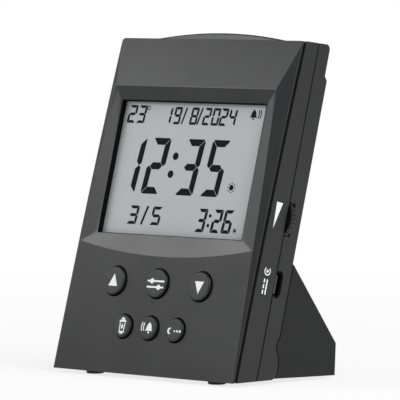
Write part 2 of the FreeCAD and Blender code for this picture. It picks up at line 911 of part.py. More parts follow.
# ================================================================ boards
def make_main_board():
    board = block(
        -board_half_width, board_half_width, board_front, board_back, board_bottom, board_top
    )
    room = boss_half + board_play
    notch = rib_half + board_play
    for x, v in both_sides(lower_boss):
        board = board.cut(square_d(x, v, 0, beyond, room))
        board = board.cut(block(min(x, 2 * x), max(x, 2 * x), 0, beyond, v - notch, v + notch))
    keep("main_board", lean_back(board))
    parts = []
    for left, right, height, low, high in component_sizes:
        parts.append(block(left, right, board_back, board_back + height, low, high))
    keep("board_components", lean_back(Part.makeCompound(parts)))


def make_temperature_sensor():
    """A small bead on two leads, near the lower corner of the board."""
    x = -sensor_place[0]
    v = sensor_place[1]
    front = board_back + sensor_stand
    back = front + sensor_thickness
    half = sensor_half_width
    low = v - sensor_half_height
    bead = block(x - half, x + half, front, back, low, v + sensor_half_height)
    for side in (-1, 1):
        place = x + side * lead_pitch / 2.0
        bead = bead.fuse(square_d(place, v, board_back, front + overlap, lead_half))
    keep("temperature_sensor", lean_back(bead.removeSplitter()))


# ================================================================ buttons
switch_front = board_front - switch_height
plunger_front = switch_front - plunger_length


def make_front_buttons():
    switches = []
    for name, row, x, v in button_places():
        radius = row_hole_radii[row] - button_gap
        front = panel_surface(v) - button_proud
        lug_front = fascia_back + float_gap
        lug_back = lug_front + lug_thickness
        cap = rod_d(x, v, front, lug_back, radius)
        rim = [e for e in cap.Edges if e.BoundBox.YMax < front + tiny]
        cap = cap.makeChamfer(button_ease, rim)
        lug_end = row_hole_radii[row] + lug_reach
        lugs = block(x - lug_end, x + lug_end, lug_front, lug_back, v - lug_half, v + lug_half)
        cap = cap.fuse(lugs).fuse(square_d(x, v, lug_front, plunger_front, stem_half))
        keep(name + "_button", lean_back(cap.removeSplitter()))
        plunger = square_d(x, v, plunger_front, switch_front + button_travel, plunger_half)
        keep(name + "_plunger", lean_back(plunger))
        body = square_d(x, v, switch_front, board_front, switch_side / 2.0)
        bore_end = switch_front + 2.0 * button_travel + float_gap
        bore = square_d(x, v, 0, bore_end, plunger_half + plunger_clearance)
        switches.append(body.cut(bore))
    keep("button_switches", lean_back(Part.makeCompound(switches)))


# ================================================================ top bar
bar_middle = bar_front + bar_width / 2.0
bar_end_height = roof_v(bar_front)
bar_switch_top = board_top + switch_height


def square_v(v0, v1, half):
    """A square post under the middle of the bar."""
    return block(-half, half, bar_middle - half, bar_middle + half, v0, v1)


def make_top_bar():
    half = bar_length / 2.0
    under = roof_v(bar_front) - wall / rise_cos - 2.0 * float_gap
    ends = bar_end_height - bar_end_drop
    arc = Part.Arc(
        Vector(-half, 0, ends), Vector(0, 0, bar_end_height + bar_arch), Vector(half, 0, ends)
    ).toShape()
    right = Part.LineSegment(Vector(half, 0, ends), Vector(half, 0, under)).toShape()
    base = Part.LineSegment(Vector(half, 0, under), Vector(-half, 0, under)).toShape()
    left = Part.LineSegment(Vector(-half, 0, under), Vector(-half, 0, ends)).toShape()
    face = Part.Face(Part.Wire([arc, right, base, left]))
    bar = face.extrude(Vector(0, bar_width, 0))
    bar.translate(Vector(0, bar_front, 0))
    crown = bar_end_height + bar_arch - bar_ease
    top_edges = [e for e in bar.Edges if e.BoundBox.ZMax > crown]
    bar = bar.makeChamfer(bar_ease, top_edges)
    lip_half = half + bar_gap + bar_flange
    lip = block(-lip_half, lip_half, bar_front, bar_front + bar_width, under - bar_flange, under)
    stem_end = bar_switch_top + plunger_length
    stem_half = bar_stem_length / 2.0
    stem_front = bar_middle - bar_stem_width / 2.0
    stem = block(-stem_half, stem_half, stem_front, stem_front + bar_stem_width, stem_end, under)
    keep("top_bar", lean_back(bar.fuse(lip).fuse(stem).removeSplitter()))
    plunger_foot = bar_switch_top - bar_travel
    keep("top_bar_plunger", lean_back(square_v(plunger_foot, stem_end, plunger_half)))
    body = square_v(board_top, bar_switch_top, switch_side / 2.0)
    bore_foot = plunger_foot - bar_travel - float_gap
    bore = square_v(bore_foot, beyond, plunger_half + plunger_clearance)
    keep("top_bar_switch", lean_back(body.cut(bore)))


# ================================================================ volume wheel
def ribbed_disc():
    """The wheel's rim outline, a rib and a notch in turn, drawn out to its thickness."""
    corners = []
    for step in range(2 * wheel_ribs):
        radius = wheel_radius if step % 2 == 0 else wheel_radius - wheel_notch
        for edge in (-wheel_rib_share / 2.0, wheel_rib_share / 2.0):
            angle = math.pi * (step + edge) / wheel_ribs
            x = wheel_x + radius * math.cos(angle)
            corners.append(Vector(x, wheel_front, wheel_height + radius * math.sin(angle)))
    face = Part.Face(Part.makePolygon(corners + corners[:1]))
    return face.extrude(Vector(0, wheel_thickness, 0))


def make_volume_wheel():
    wheel = ribbed_disc()
    hub_end = wheel_front + wheel_thickness + wheel_hub_radius
    wheel = wheel.fuse(rod_d(wheel_x, wheel_height, wheel_front, hub_end, wheel_hub_radius))
    keep("volume_wheel", lean_back(wheel))
    body_front = wheel_front + wheel_thickness + wheel_gap
    body_back = inner_back - overlap
    arm_end = wheel_x - wheel_radius - wheel_arm_gap
    low = wheel_height - pot_half
    high = wheel_height + pot_half
    arm = arm_end - wheel_arm
    body = block(arm, wheel_x + pot_half, body_front, body_back, low, high)
    body = body.fuse(block(arm, arm_end, board_back, body_back, low, high))
    body = body.removeSplitter()
    bore = rod_d(wheel_x, wheel_height, 0, hub_end + wheel_gap, wheel_hub_radius + hub_clearance)
    keep("volume_control", lean_back(body.cut(bore)))


# ================================================================ supply socket
def make_supply_socket():
    mouth = half_width - socket_inset
    inner = mouth - socket_length
    shell = stadium_x(inner, mouth, socket_depth, socket_height, socket_wide, socket_thick)
    room_wide = socket_wide - 2.0 * socket_skin
    room_thick = socket_thick - 2.0 * socket_skin
    floor = inner + socket_floor
    shell = shell.cut(
        stadium_x(floor, half_width, socket_depth, socket_height, room_wide, room_thick)
    )
    keep("supply_socket_shell", lean_back(shell))
    tongue = block(
        floor,
        mouth - socket_floor,
        socket_depth - tongue_thickness / 2.0,
        socket_depth + tongue_thickness / 2.0,
        socket_height - tongue_width / 2.0,
        socket_height + tongue_width / 2.0,
    )
    keep("supply_socket_tongue", lean_back(tongue))


# ================================================================ speaker
def make_speaker():
    """Square sheet frame on four legs, flat cone, and a magnet on the yoke."""
    front = inner_back - speaker_thickness
    yoke_front = front + speaker_thickness * magnet_share
    yoke_back = yoke_front + speaker_plate
    frame_front = inner_back - speaker_plate
    v = speaker_height
    half = speaker_side / 2.0
    frame = square_d(0, v, frame_front, inner_back, half)
    frame = frame.cut(rod_d(0, v, 0, panel_depth, cone_radius + speaker_play))
    frame = frame.fuse(square_d(0, v, yoke_front, yoke_back, speaker_yoke / 2.0))
    leg_half = speaker_leg / 2.0
    for side in (-1, 1):
        near = side * (speaker_yoke / 2.0 - overlap)
        far = side * half
        arm = block(min(near, far), max(near, far), yoke_front, yoke_back, v - leg_half, v + leg_half)
        end = side * (half - speaker_plate)
        low = min(end, far)
        leg = block(low, low + speaker_plate, yoke_front, inner_back, v - leg_half, v + leg_half)
        frame = frame.fuse(arm).fuse(leg)
    keep("speaker_basket", lean_back(frame.removeSplitter()))
    keep("speaker_magnet", lean_back(rod_d(0, v, front, yoke_front, magnet_radius)))
    cone = rod_d(0, v, frame_front, frame_front + cone_thickness, cone_radius)
    keep("speaker_cone", lean_back(cone))


# ================================================================ wedge base
def panel_line(depth, height):
    """Row-frame y and z of the plane at this depth, at this height."""
    v = (height - case_lift + depth * lean_sin) / lean_cos
    point = row_point(0, depth, v)
    return (point.y, point.z)


ledge_start = panel_line(panel_depth, base_top_height)
base_brow = (ledge_start[0] + base_ledge, base_top_height)
cell_pitch = 2.0 * cell_radius + cell_gap
cell_floor = base_rear_lift + base_wall + cell_gap + cell_radius
cell_seat = panel_depth + base_seat_wall + cell_seat_gap + cell_radius
cell_depth = door_thickness + cell_door_gap + cell_radius


def cells_at(angle):
    """Row-frame y and z of the lower and the upper cell's axis under a slope this steep."""
    upper_z = cell_floor + cell_pitch * math.sin(angle)
    upper_y = panel_line(cell_seat, upper_z)[0]
    lower_y = upper_y + cell_pitch * math.cos(angle)
    return (lower_y, cell_floor), (upper_y, upper_z)


def slope_angle():
    """The steepness at which the slope runs from the brow just over both cells."""
    low = math.radians(20.0)
    high = math.radians(80.0)
    for step in range(60):
        angle = (low + high) / 2.0
        y, z = cells_at(angle)[0]
        depth = (base_brow[0] - y) * math.sin(angle) + (base_brow[1] - z) * math.cos(angle)
        if depth > cell_depth:
            low = angle
        else:
            high = angle
    return low


base_slope = slope_angle()
lower_cell, upper_cell = cells_at(base_slope)
base_reach = lower_cell[0] + cell_radius + cell_gap + base_wall
shoulder_y = base_reach + base_batter
shoulder_z = base_brow[1] - (shoulder_y - base_brow[0]) * math.tan(base_slope)
base_foot = (base_reach, base_rear_lift)
base_shoulder = (shoulder_y, shoulder_z)
slope_y = math.cos(base_slope)
slope_z = -math.sin(base_slope)
slope_length = (shoulder_y - base_brow[0]) / slope_y


def slope_point(s, n):
    """Point s down the slope from its brow and n below its surface."""
    return (
        base_brow[0] + s * slope_y + n * slope_z,
        base_brow[1] + s * slope_z - n * slope_y,
    )


def slope_block(x0, x1, s0, s1, n0, n1):
    corners = [slope_point(s1, n0), slope_point(s1, n1), slope_point(s0, n1)]
    return side_prism(slope_point(s0, n0), corners, x0, x1)


def crossing(p, p_way, q, q_way):
    """Where two lines in the side plane meet."""
    area = p_way[0] * q_way[1] - p_way[1] * q_way[0]
    share = ((q[0] - p[0]) * q_way[1] - (q[1] - p[1]) * q_way[0]) / area
    return (p[0] + share * p_way[0], p[1] + share * p_way[1])


def base_outline():
    front_depth = panel_depth - base_seat_wall
    front_top = panel_line(front_depth, base_top_height)
    front_low = panel_line(front_depth, base_front_lift)
    steps = [base_foot, base_shoulder, base_brow, front_top]
    return side_prism(front_low, steps, -base_width / 2.0, base_width / 2.0)


def base_room(x0, x1):
    """The hollow of the base, between its walls."""
    front_low = panel_line(panel_depth, base_front_lift)
    floor_way = (base_foot[0] - front_low[0], base_foot[1] - front_low[1])
    rear_way = (base_batter, base_shoulder[1] - base_rear_lift)
    slope_way = (slope_y, slope_z)
    seat_way = (lean_sin, lean_cos)
    floor = (base_foot[0], base_foot[1] + base_wall)
    rear = (base_foot[0] - base_wall, base_foot[1])
    slope = slope_point(0.0, base_slope_wall)
    seat = panel_line(panel_depth + base_seat_wall, base_top_height)
    corners = [
        crossing(floor, floor_way, rear, rear_way),
        crossing(rear, rear_way, slope, slope_way),
        crossing(slope, slope_way, seat, seat_way),
    ]
    start = crossing(seat, seat_way, floor, floor_way)
    room = side_prism(start, corners, x0, x1)
    heel_end = heel_depth + base_seat_wall
    heel = block(-beyond, beyond, 0, heel_end, -beyond, heel_height + heel_rise)
    return room.cut(lean_back(heel))


def door_start():
    return slope_length - door_length


def make_battery_base():
    outline = base_outline()
    edges = []
    for edge in outline.Edges:
        ends = [vertex.Point for vertex in edge.Vertexes]
        along = abs(ends[0].x - ends[1].x) < tiny
        if along and min(ends[0].y, ends[1].y) > base_brow[0] - tiny:
            edges.append(edge)
    solid = outline.makeFillet(base_edge, edges)
    solid = solid.cut(lean_back(side_prism(rail_foot, outline_steps(0.0), -beyond, beyond)))
    inner_half = base_width / 2.0 - base_wall
    solid = solid.cut(base_room(-inner_half, inner_half))
    solid = add_cell_walls(solid)
    half = door_half_width
    top = door_start()
    end = slope_length + door_thickness + base_wall
    under = door_thickness + door_under_gap
    solid = solid.cut(slope_block(-half, half, top - door_gap, end, -beyond, under))
    solid = solid.cut(
        slope_block(
            door_shelf - half,
            half - door_shelf,
            top + door_shelf,
            slope_length - door_sill,
            -beyond,
            base_slope_wall + overlap,
        )
    )
    groove = half - door_gap + door_tongue + door_gap
    solid = solid.cut(
        slope_block(
            -groove,
            groove,
            top + door_tongue_start / 2.0,
            end,
            door_tongue_depth - door_tongue_gap,
            door_tongue_depth + door_tongue_thickness + door_tongue_gap,
        )
    )
    for x, v in both_sides(lower_boss):
        hole_end = panel_depth + base_seat_wall + overlap
        hole = rod_d(x, v, inner_back, hole_end, screw_radius + screw_play)
        solid = solid.cut(lean_back(hole))
    for side in (-1, 1):
        solid = solid.cut(foot_rod(side * foot_spread, rear_foot_place(), foot_play))
    keep("battery_base", solid.removeSplitter())


def add_cell_walls(solid):
    """Two partitions behind the contacts and a cradle under the cells."""
    inner = partition_place
    outer = inner + partition_thickness
    bed = slope_block(-beyond, beyond, -beyond, beyond, cell_depth, beyond)
    half = partition_thickness / 2.0
    for side in (-1, 1):
        near = min(side * inner, side * outer)
        solid = solid.fuse(base_room(near, near + partition_thickness))
    cradle = base_room(-half, half).common(bed)
    for y, z in (lower_cell, upper_cell):
        cradle = cradle.cut(rod_x(y, z, -beyond, beyond, cell_radius))
    return solid.fuse(cradle)


def make_battery_door():
    half = door_half_width - door_gap
    top = door_start()
    plate = slope_block(-half, half, top, beyond, 0.0, door_thickness)
    plate = plate.common(base_outline())
    for side in (-1, 1):
        near = side * (half - overlap)
        far = side * (half + door_tongue)
        tongue = slope_block(
            min(near, far),
            max(near, far),
            top + door_tongue_start,
            slope_length - door_tongue_end,
            door_tongue_depth,
            door_tongue_depth + door_tongue_thickness,
        )
        plate = plate.fuse(tongue)
    reach = door_groove_length / 2.0
    for step in range(door_grooves):
        s = top + door_groove_start + door_groove_pitch * step
        low = slope_point(s, door_groove_depth)
        before = slope_point(s - door_groove_depth, -tiny)
        rims = [before, slope_point(s + door_groove_depth, -tiny)]
        plate = plate.cut(side_prism(low, rims, -reach, reach))
    keep("battery_door", plate.removeSplitter())


def make_cells():
    names = ("battery_cell_lower", "battery_cell_upper")
    for name, side, place in zip(names, (1, -1), (lower_cell, upper_cell)):
        y, z = place
        half = cell_length / 2.0
        cell = rod_x(y, z, -half, half, cell_radius)
        tip = side * half
        end = tip + side * cell_nipple_length
        nipple = rod_x(y, z, min(tip, end), max(tip, end), cell_nipple_radius)
        keep(name, cell.fuse(nipple).removeSplitter())


def leaf(y, z, side, reach):
    """A bent contact leaf that stands out of its plate towards the cell."""
    base = side * (cell_length / 2.0 + contact_room)
    tip = base - side * reach
    back = side * contact_thickness
    half = contact_width / 2.0
    outline = [(base, -leaf_half), (tip, -leaf_tip_half), (tip, leaf_tip_half), (base, leaf_half)]
    outline += [(x + back, rise) for x, rise in reversed(outline)]
    corners = [Vector(x, y - half, z + rise) for x, rise in outline]
    face = Part.Face(Part.makePolygon(corners + corners[:1]))
    return face.extrude(Vector(0, contact_width, 0))


def make_contacts():
    lower_y, lower_z = lower_cell
    upper_y, upper_z = upper_cell
    long_reach = contact_room
    short_reach = contact_room - cell_nipple_length
    plate = cell_length / 2.0 + contact_room
    tabs = []
    for y, z, reach in ((lower_y, lower_z, short_reach), (upper_y, upper_z, long_reach)):
        corner = Vector(plate, y - contact_width / 2.0, z - contact_half_height)
        back = Part.makeBox(contact_thickness, contact_width, 2.0 * contact_half_height, corner)
        tabs.append(back.fuse(leaf(y, z, 1, reach)).removeSplitter())
    keep("battery_tabs", Part.makeCompound(tabs))
    link = side_prism(
        (lower_y - bridge_half, lower_z - bridge_end),
        [
            (lower_y + bridge_half, lower_z - bridge_end),
            (lower_y + bridge_half, lower_z + bridge_half),
            (upper_y + bridge_half, upper_z + bridge_end),
            (upper_y - bridge_half, upper_z + bridge_end),
            (upper_y - bridge_half, upper_z - bridge_half),
        ],
        -plate - contact_thickness,
        -plate,
    )
    link = link.fuse(leaf(lower_y, lower_z, -1, long_reach))
    link = link.fuse(leaf(upper_y, upper_z, -1, short_reach))
    keep("battery_bridge", link.removeSplitter())


# ================================================================ feet
def rear_foot_place():
    return base_reach - rear_foot_front


def foot_rod(x, y, extra):
    return rod_z(x, y, -extra, foot_height, foot_radius + extra)


def front_foot_recess():
    left = foot_rod(-foot_spread, front_foot_back, foot_play)
    return left.fuse(foot_rod(foot_spread, front_foot_back, foot_play))


def make_feet():
    feet = []
    for y in (front_foot_back, rear_foot_place()):
        for side in (-1, 1):
            feet.append(foot_rod(side * foot_spread, y, 0.0))
    keep("feet", Part.makeCompound(feet))


# ================================================================ screws
def screw(x, v, seat, length):
    """A screw whose head rests at this depth and whose shank points forward."""
    head = rod_d(x, v, seat, seat + screw_head_height, screw_head_radius)
    return head.fuse(rod_d(x, v, seat - length, seat, screw_radius)).removeSplitter()


def make_screws():
    tip = seam_depth - seam_gap / 2.0 - screw_grip + screw_tip_room
    case_seat = back_depth - counterbore
    base_seat = panel_depth + base_seat_wall
    screws = [screw(x, v, case_seat, case_seat - tip) for x, v in both_sides(upper_boss)]
    keep("case_screws", lean_back(Part.makeCompound(screws)))
    screws = [screw(x, v, base_seat, base_seat - tip) for x, v in both_sides(lower_boss)]
    keep("base_screws", lean_back(Part.makeCompound(screws)))


# ================================================================ assembly
def row_shift():
    """Brings the middle of the whole object's footprint to the origin."""
    front = row_point(0, -foot_reach, level_v(0.0, -foot_reach)).y
    back = shoulder_y
    return Vector(-wheel_proud / 2.0, -(front + back) / 2.0, 0)


def build():
    keep("front_fascia", lean_back(make_front_fascia()))
    keep("front_frame", lean_back(make_front_frame()))
    keep("rear_case", lean_back(make_rear_case()))
    make_display()
    make_display_holder()
    make_contact_strips()
    make_backlight()
    make_main_board()
    make_temperature_sensor()
    make_front_buttons()
    make_top_bar()
    make_volume_wheel()
    make_supply_socket()
    make_speaker()
    make_battery_base()
    make_battery_door()
    make_cells()
    make_contacts()
    make_feet()
    make_screws()
    os.makedirs("parts", exist_ok=True)
    for name, shape in pieces.items():
        shape = shape.copy()
        shape.translate(row_shift())
        shape.exportStep(os.path.join("parts", name + ".step"))


build()
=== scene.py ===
import json
import math

import bmesh
import bpy
from mathutils import Matrix, Vector


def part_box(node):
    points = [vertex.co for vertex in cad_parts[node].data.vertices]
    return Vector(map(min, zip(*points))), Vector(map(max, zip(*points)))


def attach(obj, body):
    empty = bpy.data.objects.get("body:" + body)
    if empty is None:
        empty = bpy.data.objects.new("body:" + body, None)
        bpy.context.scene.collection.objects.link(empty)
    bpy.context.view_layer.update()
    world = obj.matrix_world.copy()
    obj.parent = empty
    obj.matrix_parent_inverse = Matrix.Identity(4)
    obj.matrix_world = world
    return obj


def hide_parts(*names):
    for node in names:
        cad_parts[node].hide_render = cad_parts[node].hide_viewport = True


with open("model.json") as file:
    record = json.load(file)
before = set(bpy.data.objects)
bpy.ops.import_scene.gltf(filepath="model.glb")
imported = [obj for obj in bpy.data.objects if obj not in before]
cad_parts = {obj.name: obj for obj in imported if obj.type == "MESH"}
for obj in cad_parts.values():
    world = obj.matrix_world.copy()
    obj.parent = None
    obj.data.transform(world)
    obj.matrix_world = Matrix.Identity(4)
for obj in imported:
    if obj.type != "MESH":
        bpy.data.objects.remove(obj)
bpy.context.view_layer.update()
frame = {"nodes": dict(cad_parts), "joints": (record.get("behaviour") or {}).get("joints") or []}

# ---------------------------------------------------------------- front shell
# The hooded front is one dark grey ABS moulding with a window, a bevelled
# bezel and six round holes. Its edges are slightly rounded by the tool, and
# its skin has the fine grain of a spark-eroded mould.

MM = 0.001

inward = Vector(next(j["axis"] for j in frame["joints"] if j["name"] == "up_press")).normalized()
rightward = Vector((1.0, 0.0, 0.0))
upward = rightward.cross(inward)

weld_distance = 0.002 * MM
flat_angle = math.radians(0.08)
crease_angle = math.radians(25.0)
smooth_angle = math.radians(32.0)
foremost_depth = 0.5 * MM
flat_face_weight = 90


def make_grain_group():
    """Fine grain of a moulded skin: shade, gloss and height over the surface."""
    pit_share = 0.45
    fine_share = 0.35
    mean_level = 0.5 + 0.5 * fine_share
    group = bpy.data.node_groups.new("moulded_grain", "ShaderNodeTree")
    face = group.interface
    face.new_socket("Colour", in_out="INPUT", socket_type="NodeSocketColor")
    for given_name in ("Grains per metre", "Mottle", "Dullest", "Glossiest"):
        face.new_socket(given_name, in_out="INPUT", socket_type="NodeSocketFloat")
    face.new_socket("Shade", in_out="OUTPUT", socket_type="NodeSocketColor")
    face.new_socket("Gloss", in_out="OUTPUT", socket_type="NodeSocketFloat")
    face.new_socket("Relief", in_out="OUTPUT", socket_type="NodeSocketFloat")
    add = group.nodes.new
    link = group.links.new
    given = add("NodeGroupInput")
    result = add("NodeGroupOutput")
    place = add("ShaderNodeTexCoord")
    fine = add("ShaderNodeTexNoise")
    fine.inputs["Detail"].default_value = 3.0
    fine.inputs["Roughness"].default_value = 0.62
    link(place.outputs["Object"], fine.inputs["Vector"])
    link(given.outputs["Grains per metre"], fine.inputs["Scale"])
    pits = add("ShaderNodeTexVoronoi")
    link(place.outputs["Object"], pits.inputs["Vector"])
    link(given.outputs["Grains per metre"], pits.inputs["Scale"])
    broad = add("ShaderNodeTexNoise")
    broad.inputs["Scale"].default_value = 34.0
    broad.inputs["Detail"].default_value = 4.0
    link(place.outputs["Object"], broad.inputs["Vector"])
    relief = add("ShaderNodeMath")
    relief.operation = "MULTIPLY_ADD"
    relief.inputs[1].default_value = pit_share
    link(pits.outputs["Distance"], relief.inputs[0])
    link(fine.outputs["Fac"], relief.inputs[2])
    link(relief.outputs[0], result.inputs["Relief"])
    blend = add("ShaderNodeMath")
    blend.operation = "MULTIPLY_ADD"
    blend.inputs[1].default_value = fine_share
    link(fine.outputs["Fac"], blend.inputs[0])
    link(broad.outputs["Fac"], blend.inputs[2])
    centred = add("ShaderNodeMath")
    centred.operation = "SUBTRACT"
    centred.inputs[1].default_value = mean_level
    link(blend.outputs[0], centred.inputs[0])
    swing = add("ShaderNodeMath")
    swing.operation = "MULTIPLY_ADD"
    swing.inputs[2].default_value = 1.0
    link(centred.outputs[0], swing.inputs[0])
    link(given.outputs["Mottle"], swing.inputs[1])
    shade = add("ShaderNodeVectorMath")
    shade.operation = "SCALE"
    link(given.outputs["Colour"], shade.inputs[0])
    link(swing.outputs[0], shade.inputs["Scale"])
    link(shade.outputs[0], result.inputs["Shade"])
    gloss = add("ShaderNodeMapRange")
    gloss.inputs["From Min"].default_value = 0.3
    gloss.inputs["From Max"].default_value = 0.7
    link(broad.outputs["Fac"], gloss.inputs["Value"])
    link(given.outputs["Glossiest"], gloss.inputs["To Min"])
    link(given.outputs["Dullest"], gloss.inputs["To Max"])
    link(gloss.outputs[0], result.inputs["Gloss"])
    return group


grain_group = make_grain_group()


def new_material(name):
    """An empty material, and with it its nodes, its link call and its shader."""
    material = bpy.data.materials.new(name)
    material.use_nodes = True
    nodes = material.node_tree.nodes
    return material, nodes, material.node_tree.links.new, nodes["Principled BSDF"]


def moulded(name, colour, grains, mottle, gloss, depth, shine=0.5):
    """A moulded skin: grains per metre, gloss from most to least, and the grain's depth in metres."""
    material, nodes, link, shader = new_material(name)
    grain = nodes.new("ShaderNodeGroup")
    grain.node_tree = grain_group
    grain.inputs["Colour"].default_value = (*colour, 1.0)
    grain.inputs["Grains per metre"].default_value = grains
    grain.inputs["Mottle"].default_value = mottle
    grain.inputs["Glossiest"].default_value = gloss[0]
    grain.inputs["Dullest"].default_value = gloss[1]
    bump = nodes.new("ShaderNodeBump")
    bump.inputs["Strength"].default_value = 1.0
    bump.inputs["Distance"].default_value = depth
    link(grain.outputs["Shade"], shader.inputs["Base Color"])
    link(grain.outputs["Gloss"], shader.inputs["Roughness"])
    link(grain.outputs["Relief"], bump.inputs["Height"])
    link(bump.outputs["Normal"], shader.inputs["Normal"])
    shader.inputs["Specular IOR Level"].default_value = shine
    material.diffuse_color = (*colour, 1.0)
    return material


def finish_piece(name, bm, material, body):
    """Turns the mesh being built into a named piece on its body."""
    mesh = bpy.data.meshes.new(name)
    bm.to_mesh(mesh)
    bm.free()
    mesh.materials.append(material)
    mesh.shade_smooth()
    mesh.set_sharp_from_angle(angle=smooth_angle)
    piece = bpy.data.objects.new(name, mesh)
    bpy.context.scene.collection.objects.link(piece)
    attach(piece, body)
    return piece


def rounded_copy(node, radius, steps, least_angle):
    """A merged copy of a node's mesh whose outer edges are rounded.

    Edges sharper than a crease are rounded everywhere, and the blunter ones
    only at the front of the node.
    """
    bm = bmesh.new()
    bm.from_mesh(frame["nodes"][node].data)
    bmesh.ops.remove_doubles(bm, verts=bm.verts, dist=weld_distance)
    bmesh.ops.dissolve_limit(
        bm, angle_limit=flat_angle, verts=bm.verts, edges=bm.edges, use_dissolve_boundaries=False
    )
    least = math.radians(least_angle)
    front = min(vertex.co.dot(inward) for vertex in bm.verts) + foremost_depth
    edges = []
    for edge in bm.edges:
        if len(edge.link_faces) == 2 and edge.is_convex and edge.calc_face_angle() > least:
            foremost = all(vertex.co.dot(inward) < front for vertex in edge.verts)
            if foremost or edge.calc_face_angle() > crease_angle:
                edges.append(edge)
    bmesh.ops.bevel(
        bm,
        geom=edges,
        offset=radius,
        offset_type="OFFSET",
        affect="EDGES",
        segments=steps,
        profile=0.5,
        material=-1,
        clamp_overlap=False,
        loop_slide=True,
    )
    return bm


def moulding(name, node, material, body, radius, steps=2, least_angle=25.0):
    """The finished moulding that stands for a node, its edges rounded by this radius."""
    piece = finish_piece(name, rounded_copy(node, radius, steps, least_angle), material, body)
    even = piece.modifiers.new("even_shading", "WEIGHTED_NORMAL")
    even.weight = flat_face_weight
    even.keep_sharp = True
    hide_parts(node)
    return piece


shell_colour = (0.0245, 0.0248, 0.0256)
shell_shine = 0.28
shell_skin = moulded(
    "shell_grey_abs", shell_colour, grains=3600.0,
    mottle=0.12, gloss=(0.28, 0.36), depth=0.006 * MM, shine=shell_shine,
)
moulding(
    "hooded_front", "front_fascia", shell_skin, "case",
    radius=0.16 * MM, steps=3, least_angle=3.0,
)

# ---------------------------------------------------------------- front frame
# The ring round the hood carries the sides and the roof. It is the same ABS,
# and its front rim and the seam to the rear shell have small rounded edges.

moulding("side_frame", "front_frame", shell_skin, "case", radius=0.12 * MM)

# ---------------------------------------------------------------- rear shell
# The rear shell closes the case from behind, with the sound slots of the
# speaker and two deep screw holes at the top. It is the same ABS.

moulding("rear_shell", "rear_case", shell_skin, "case", radius=0.15 * MM)

# ---------------------------------------------------------------- battery base
# The wedge under the rear shell holds two cells. It is a separate moulding
# with a slightly coarser and darker skin than the case.

base_colour = (0.0140, 0.0142, 0.0150)
base_shine = 0.24
base_skin = moulded(
    "base_grey_abs", base_colour, grains=3000.0,
    mottle=0.12, gloss=(0.38, 0.48), depth=0.010 * MM, shine=base_shine,
)
moulding("wedge_base", "battery_base", base_skin, "case", radius=0.15 * MM)

# ---------------------------------------------------------------- battery door
# The door is moulded in the ABS of the base and slides down its slope. Four
# grooves give the thumb a hold at its upper end.

moulding("sliding_door", "battery_door", base_skin, "door", radius=0.15 * MM)

# ---------------------------------------------------------------- keys
# Six round caps of satin ABS stand in the holes of the front, each held by
# two lugs behind it. Below the face their sides and backs are painted near
# black and dull, as painted shade of the gap round each cap.

key_names = ("up", "ok", "down", "lamp", "bell", "doze")
cap_colour = (0.0255, 0.0258, 0.0266)
cap_skin = moulded(
    "cap_grey_abs", cap_colour, grains=4200.0,
    mottle=0.06, gloss=(0.27, 0.34), depth=0.004 * MM, shine=shell_shine,
)
# Painted shade: this near black on the caps' sides stands for the shadow in the gap round them.
cap_side_shade_colour = (0.004, 0.004, 0.004)
cap_side_shade_skin = moulded(
    "cap_sides_painted_shade", cap_side_shade_colour, grains=2600.0,
    mottle=0.10, gloss=(0.6, 0.7), depth=0.004 * MM, shine=0.12,
)
face_lean = -0.35
for name in key_names:
    cap = moulding(
        name + "_cap", name + "_button", cap_skin, name + "_key", radius=0.22 * MM, steps=3
    )
    # The sides and backs of each cap take the painted shade of the gap round it.
    cap.data.materials.append(cap_side_shade_skin)
    for face in cap.data.polygons:
        if face.normal.dot(inward) > face_lean:
            face.material_index = 1

# ---------------------------------------------------------------- key signs
# The signs are pad-printed in white ink, about as thick as a hair: arrows,
# a set of sliders, a lantern, a bell and a moon.

ink_thickness = 0.03 * MM
ink_sunk = ink_thickness / 3.0


def noise_on_piece(nodes, link, scale, detail=2.0):
    """Noise that stays with the piece, with this many swells per metre."""
    place = nodes.new("ShaderNodeTexCoord")
    noise = nodes.new("ShaderNodeTexNoise")
    noise.inputs["Scale"].default_value = scale
    noise.inputs["Detail"].default_value = detail
    link(place.outputs["Object"], noise.inputs["Vector"])
    return noise.outputs["Fac"]


def two_tones(nodes, link, source, dark, light, start=0.0, end=1.0):
    """A colour that goes from dark to light while the source goes from start to end."""
    ramp = nodes.new("ShaderNodeValToRGB")
    low, high = ramp.color_ramp.elements
    low.position = start
    low.color = (*dark, 1.0)
    high.position = end
    high.color = (*light, 1.0)
    link(source, ramp.inputs["Fac"])
    return ramp.outputs["Color"]


def make_ink():
    """White ink with fine specks."""
    material, nodes, link, shader = new_material("white_pad_ink")
    specks = noise_on_piece(nodes, link, 2400.0)
    shade = two_tones(nodes, link, specks, (0.66, 0.66, 0.66), (0.82, 0.82, 0.82), 0.25, 0.45)
    link(shade, shader.inputs["Base Color"])
    shader.inputs["Roughness"].default_value = 0.45
    return material


white_ink = make_ink()


def patch(bm, corners):
    """A flat patch with these corners in millimetres."""
    verts = [bm.verts.new((x * MM, y * MM, 0.0)) for x, y in corners]
    return bm.faces.new(verts)


def disc(bm, x, y, radius, sides=24):
    """A round patch at this point, in millimetres."""
    place = Matrix.Translation((x * MM, y * MM, 0.0))
    bmesh.ops.create_circle(bm, cap_ends=True, segments=sides, radius=radius * MM, matrix=place)


def band(bm, x, y, radius, width, start, sweep, steps=12):
    """Part of a ring round this point, from a start angle in degrees."""
    way = Vector((math.cos(math.radians(start)), math.sin(math.radians(start)), 0.0))
    middle = Vector((x, y, 0.0)) * MM
    inner = bm.verts.new(middle + way * (radius - width / 2.0) * MM)
    outer = bm.verts.new(middle + way * (radius + width / 2.0) * MM)
    edge = bm.edges.new((inner, outer))
    bmesh.ops.spin(
        bm, geom=[inner, outer, edge], cent=middle, axis=(0, 0, 1), angle=math.radians(sweep), steps=steps
    )


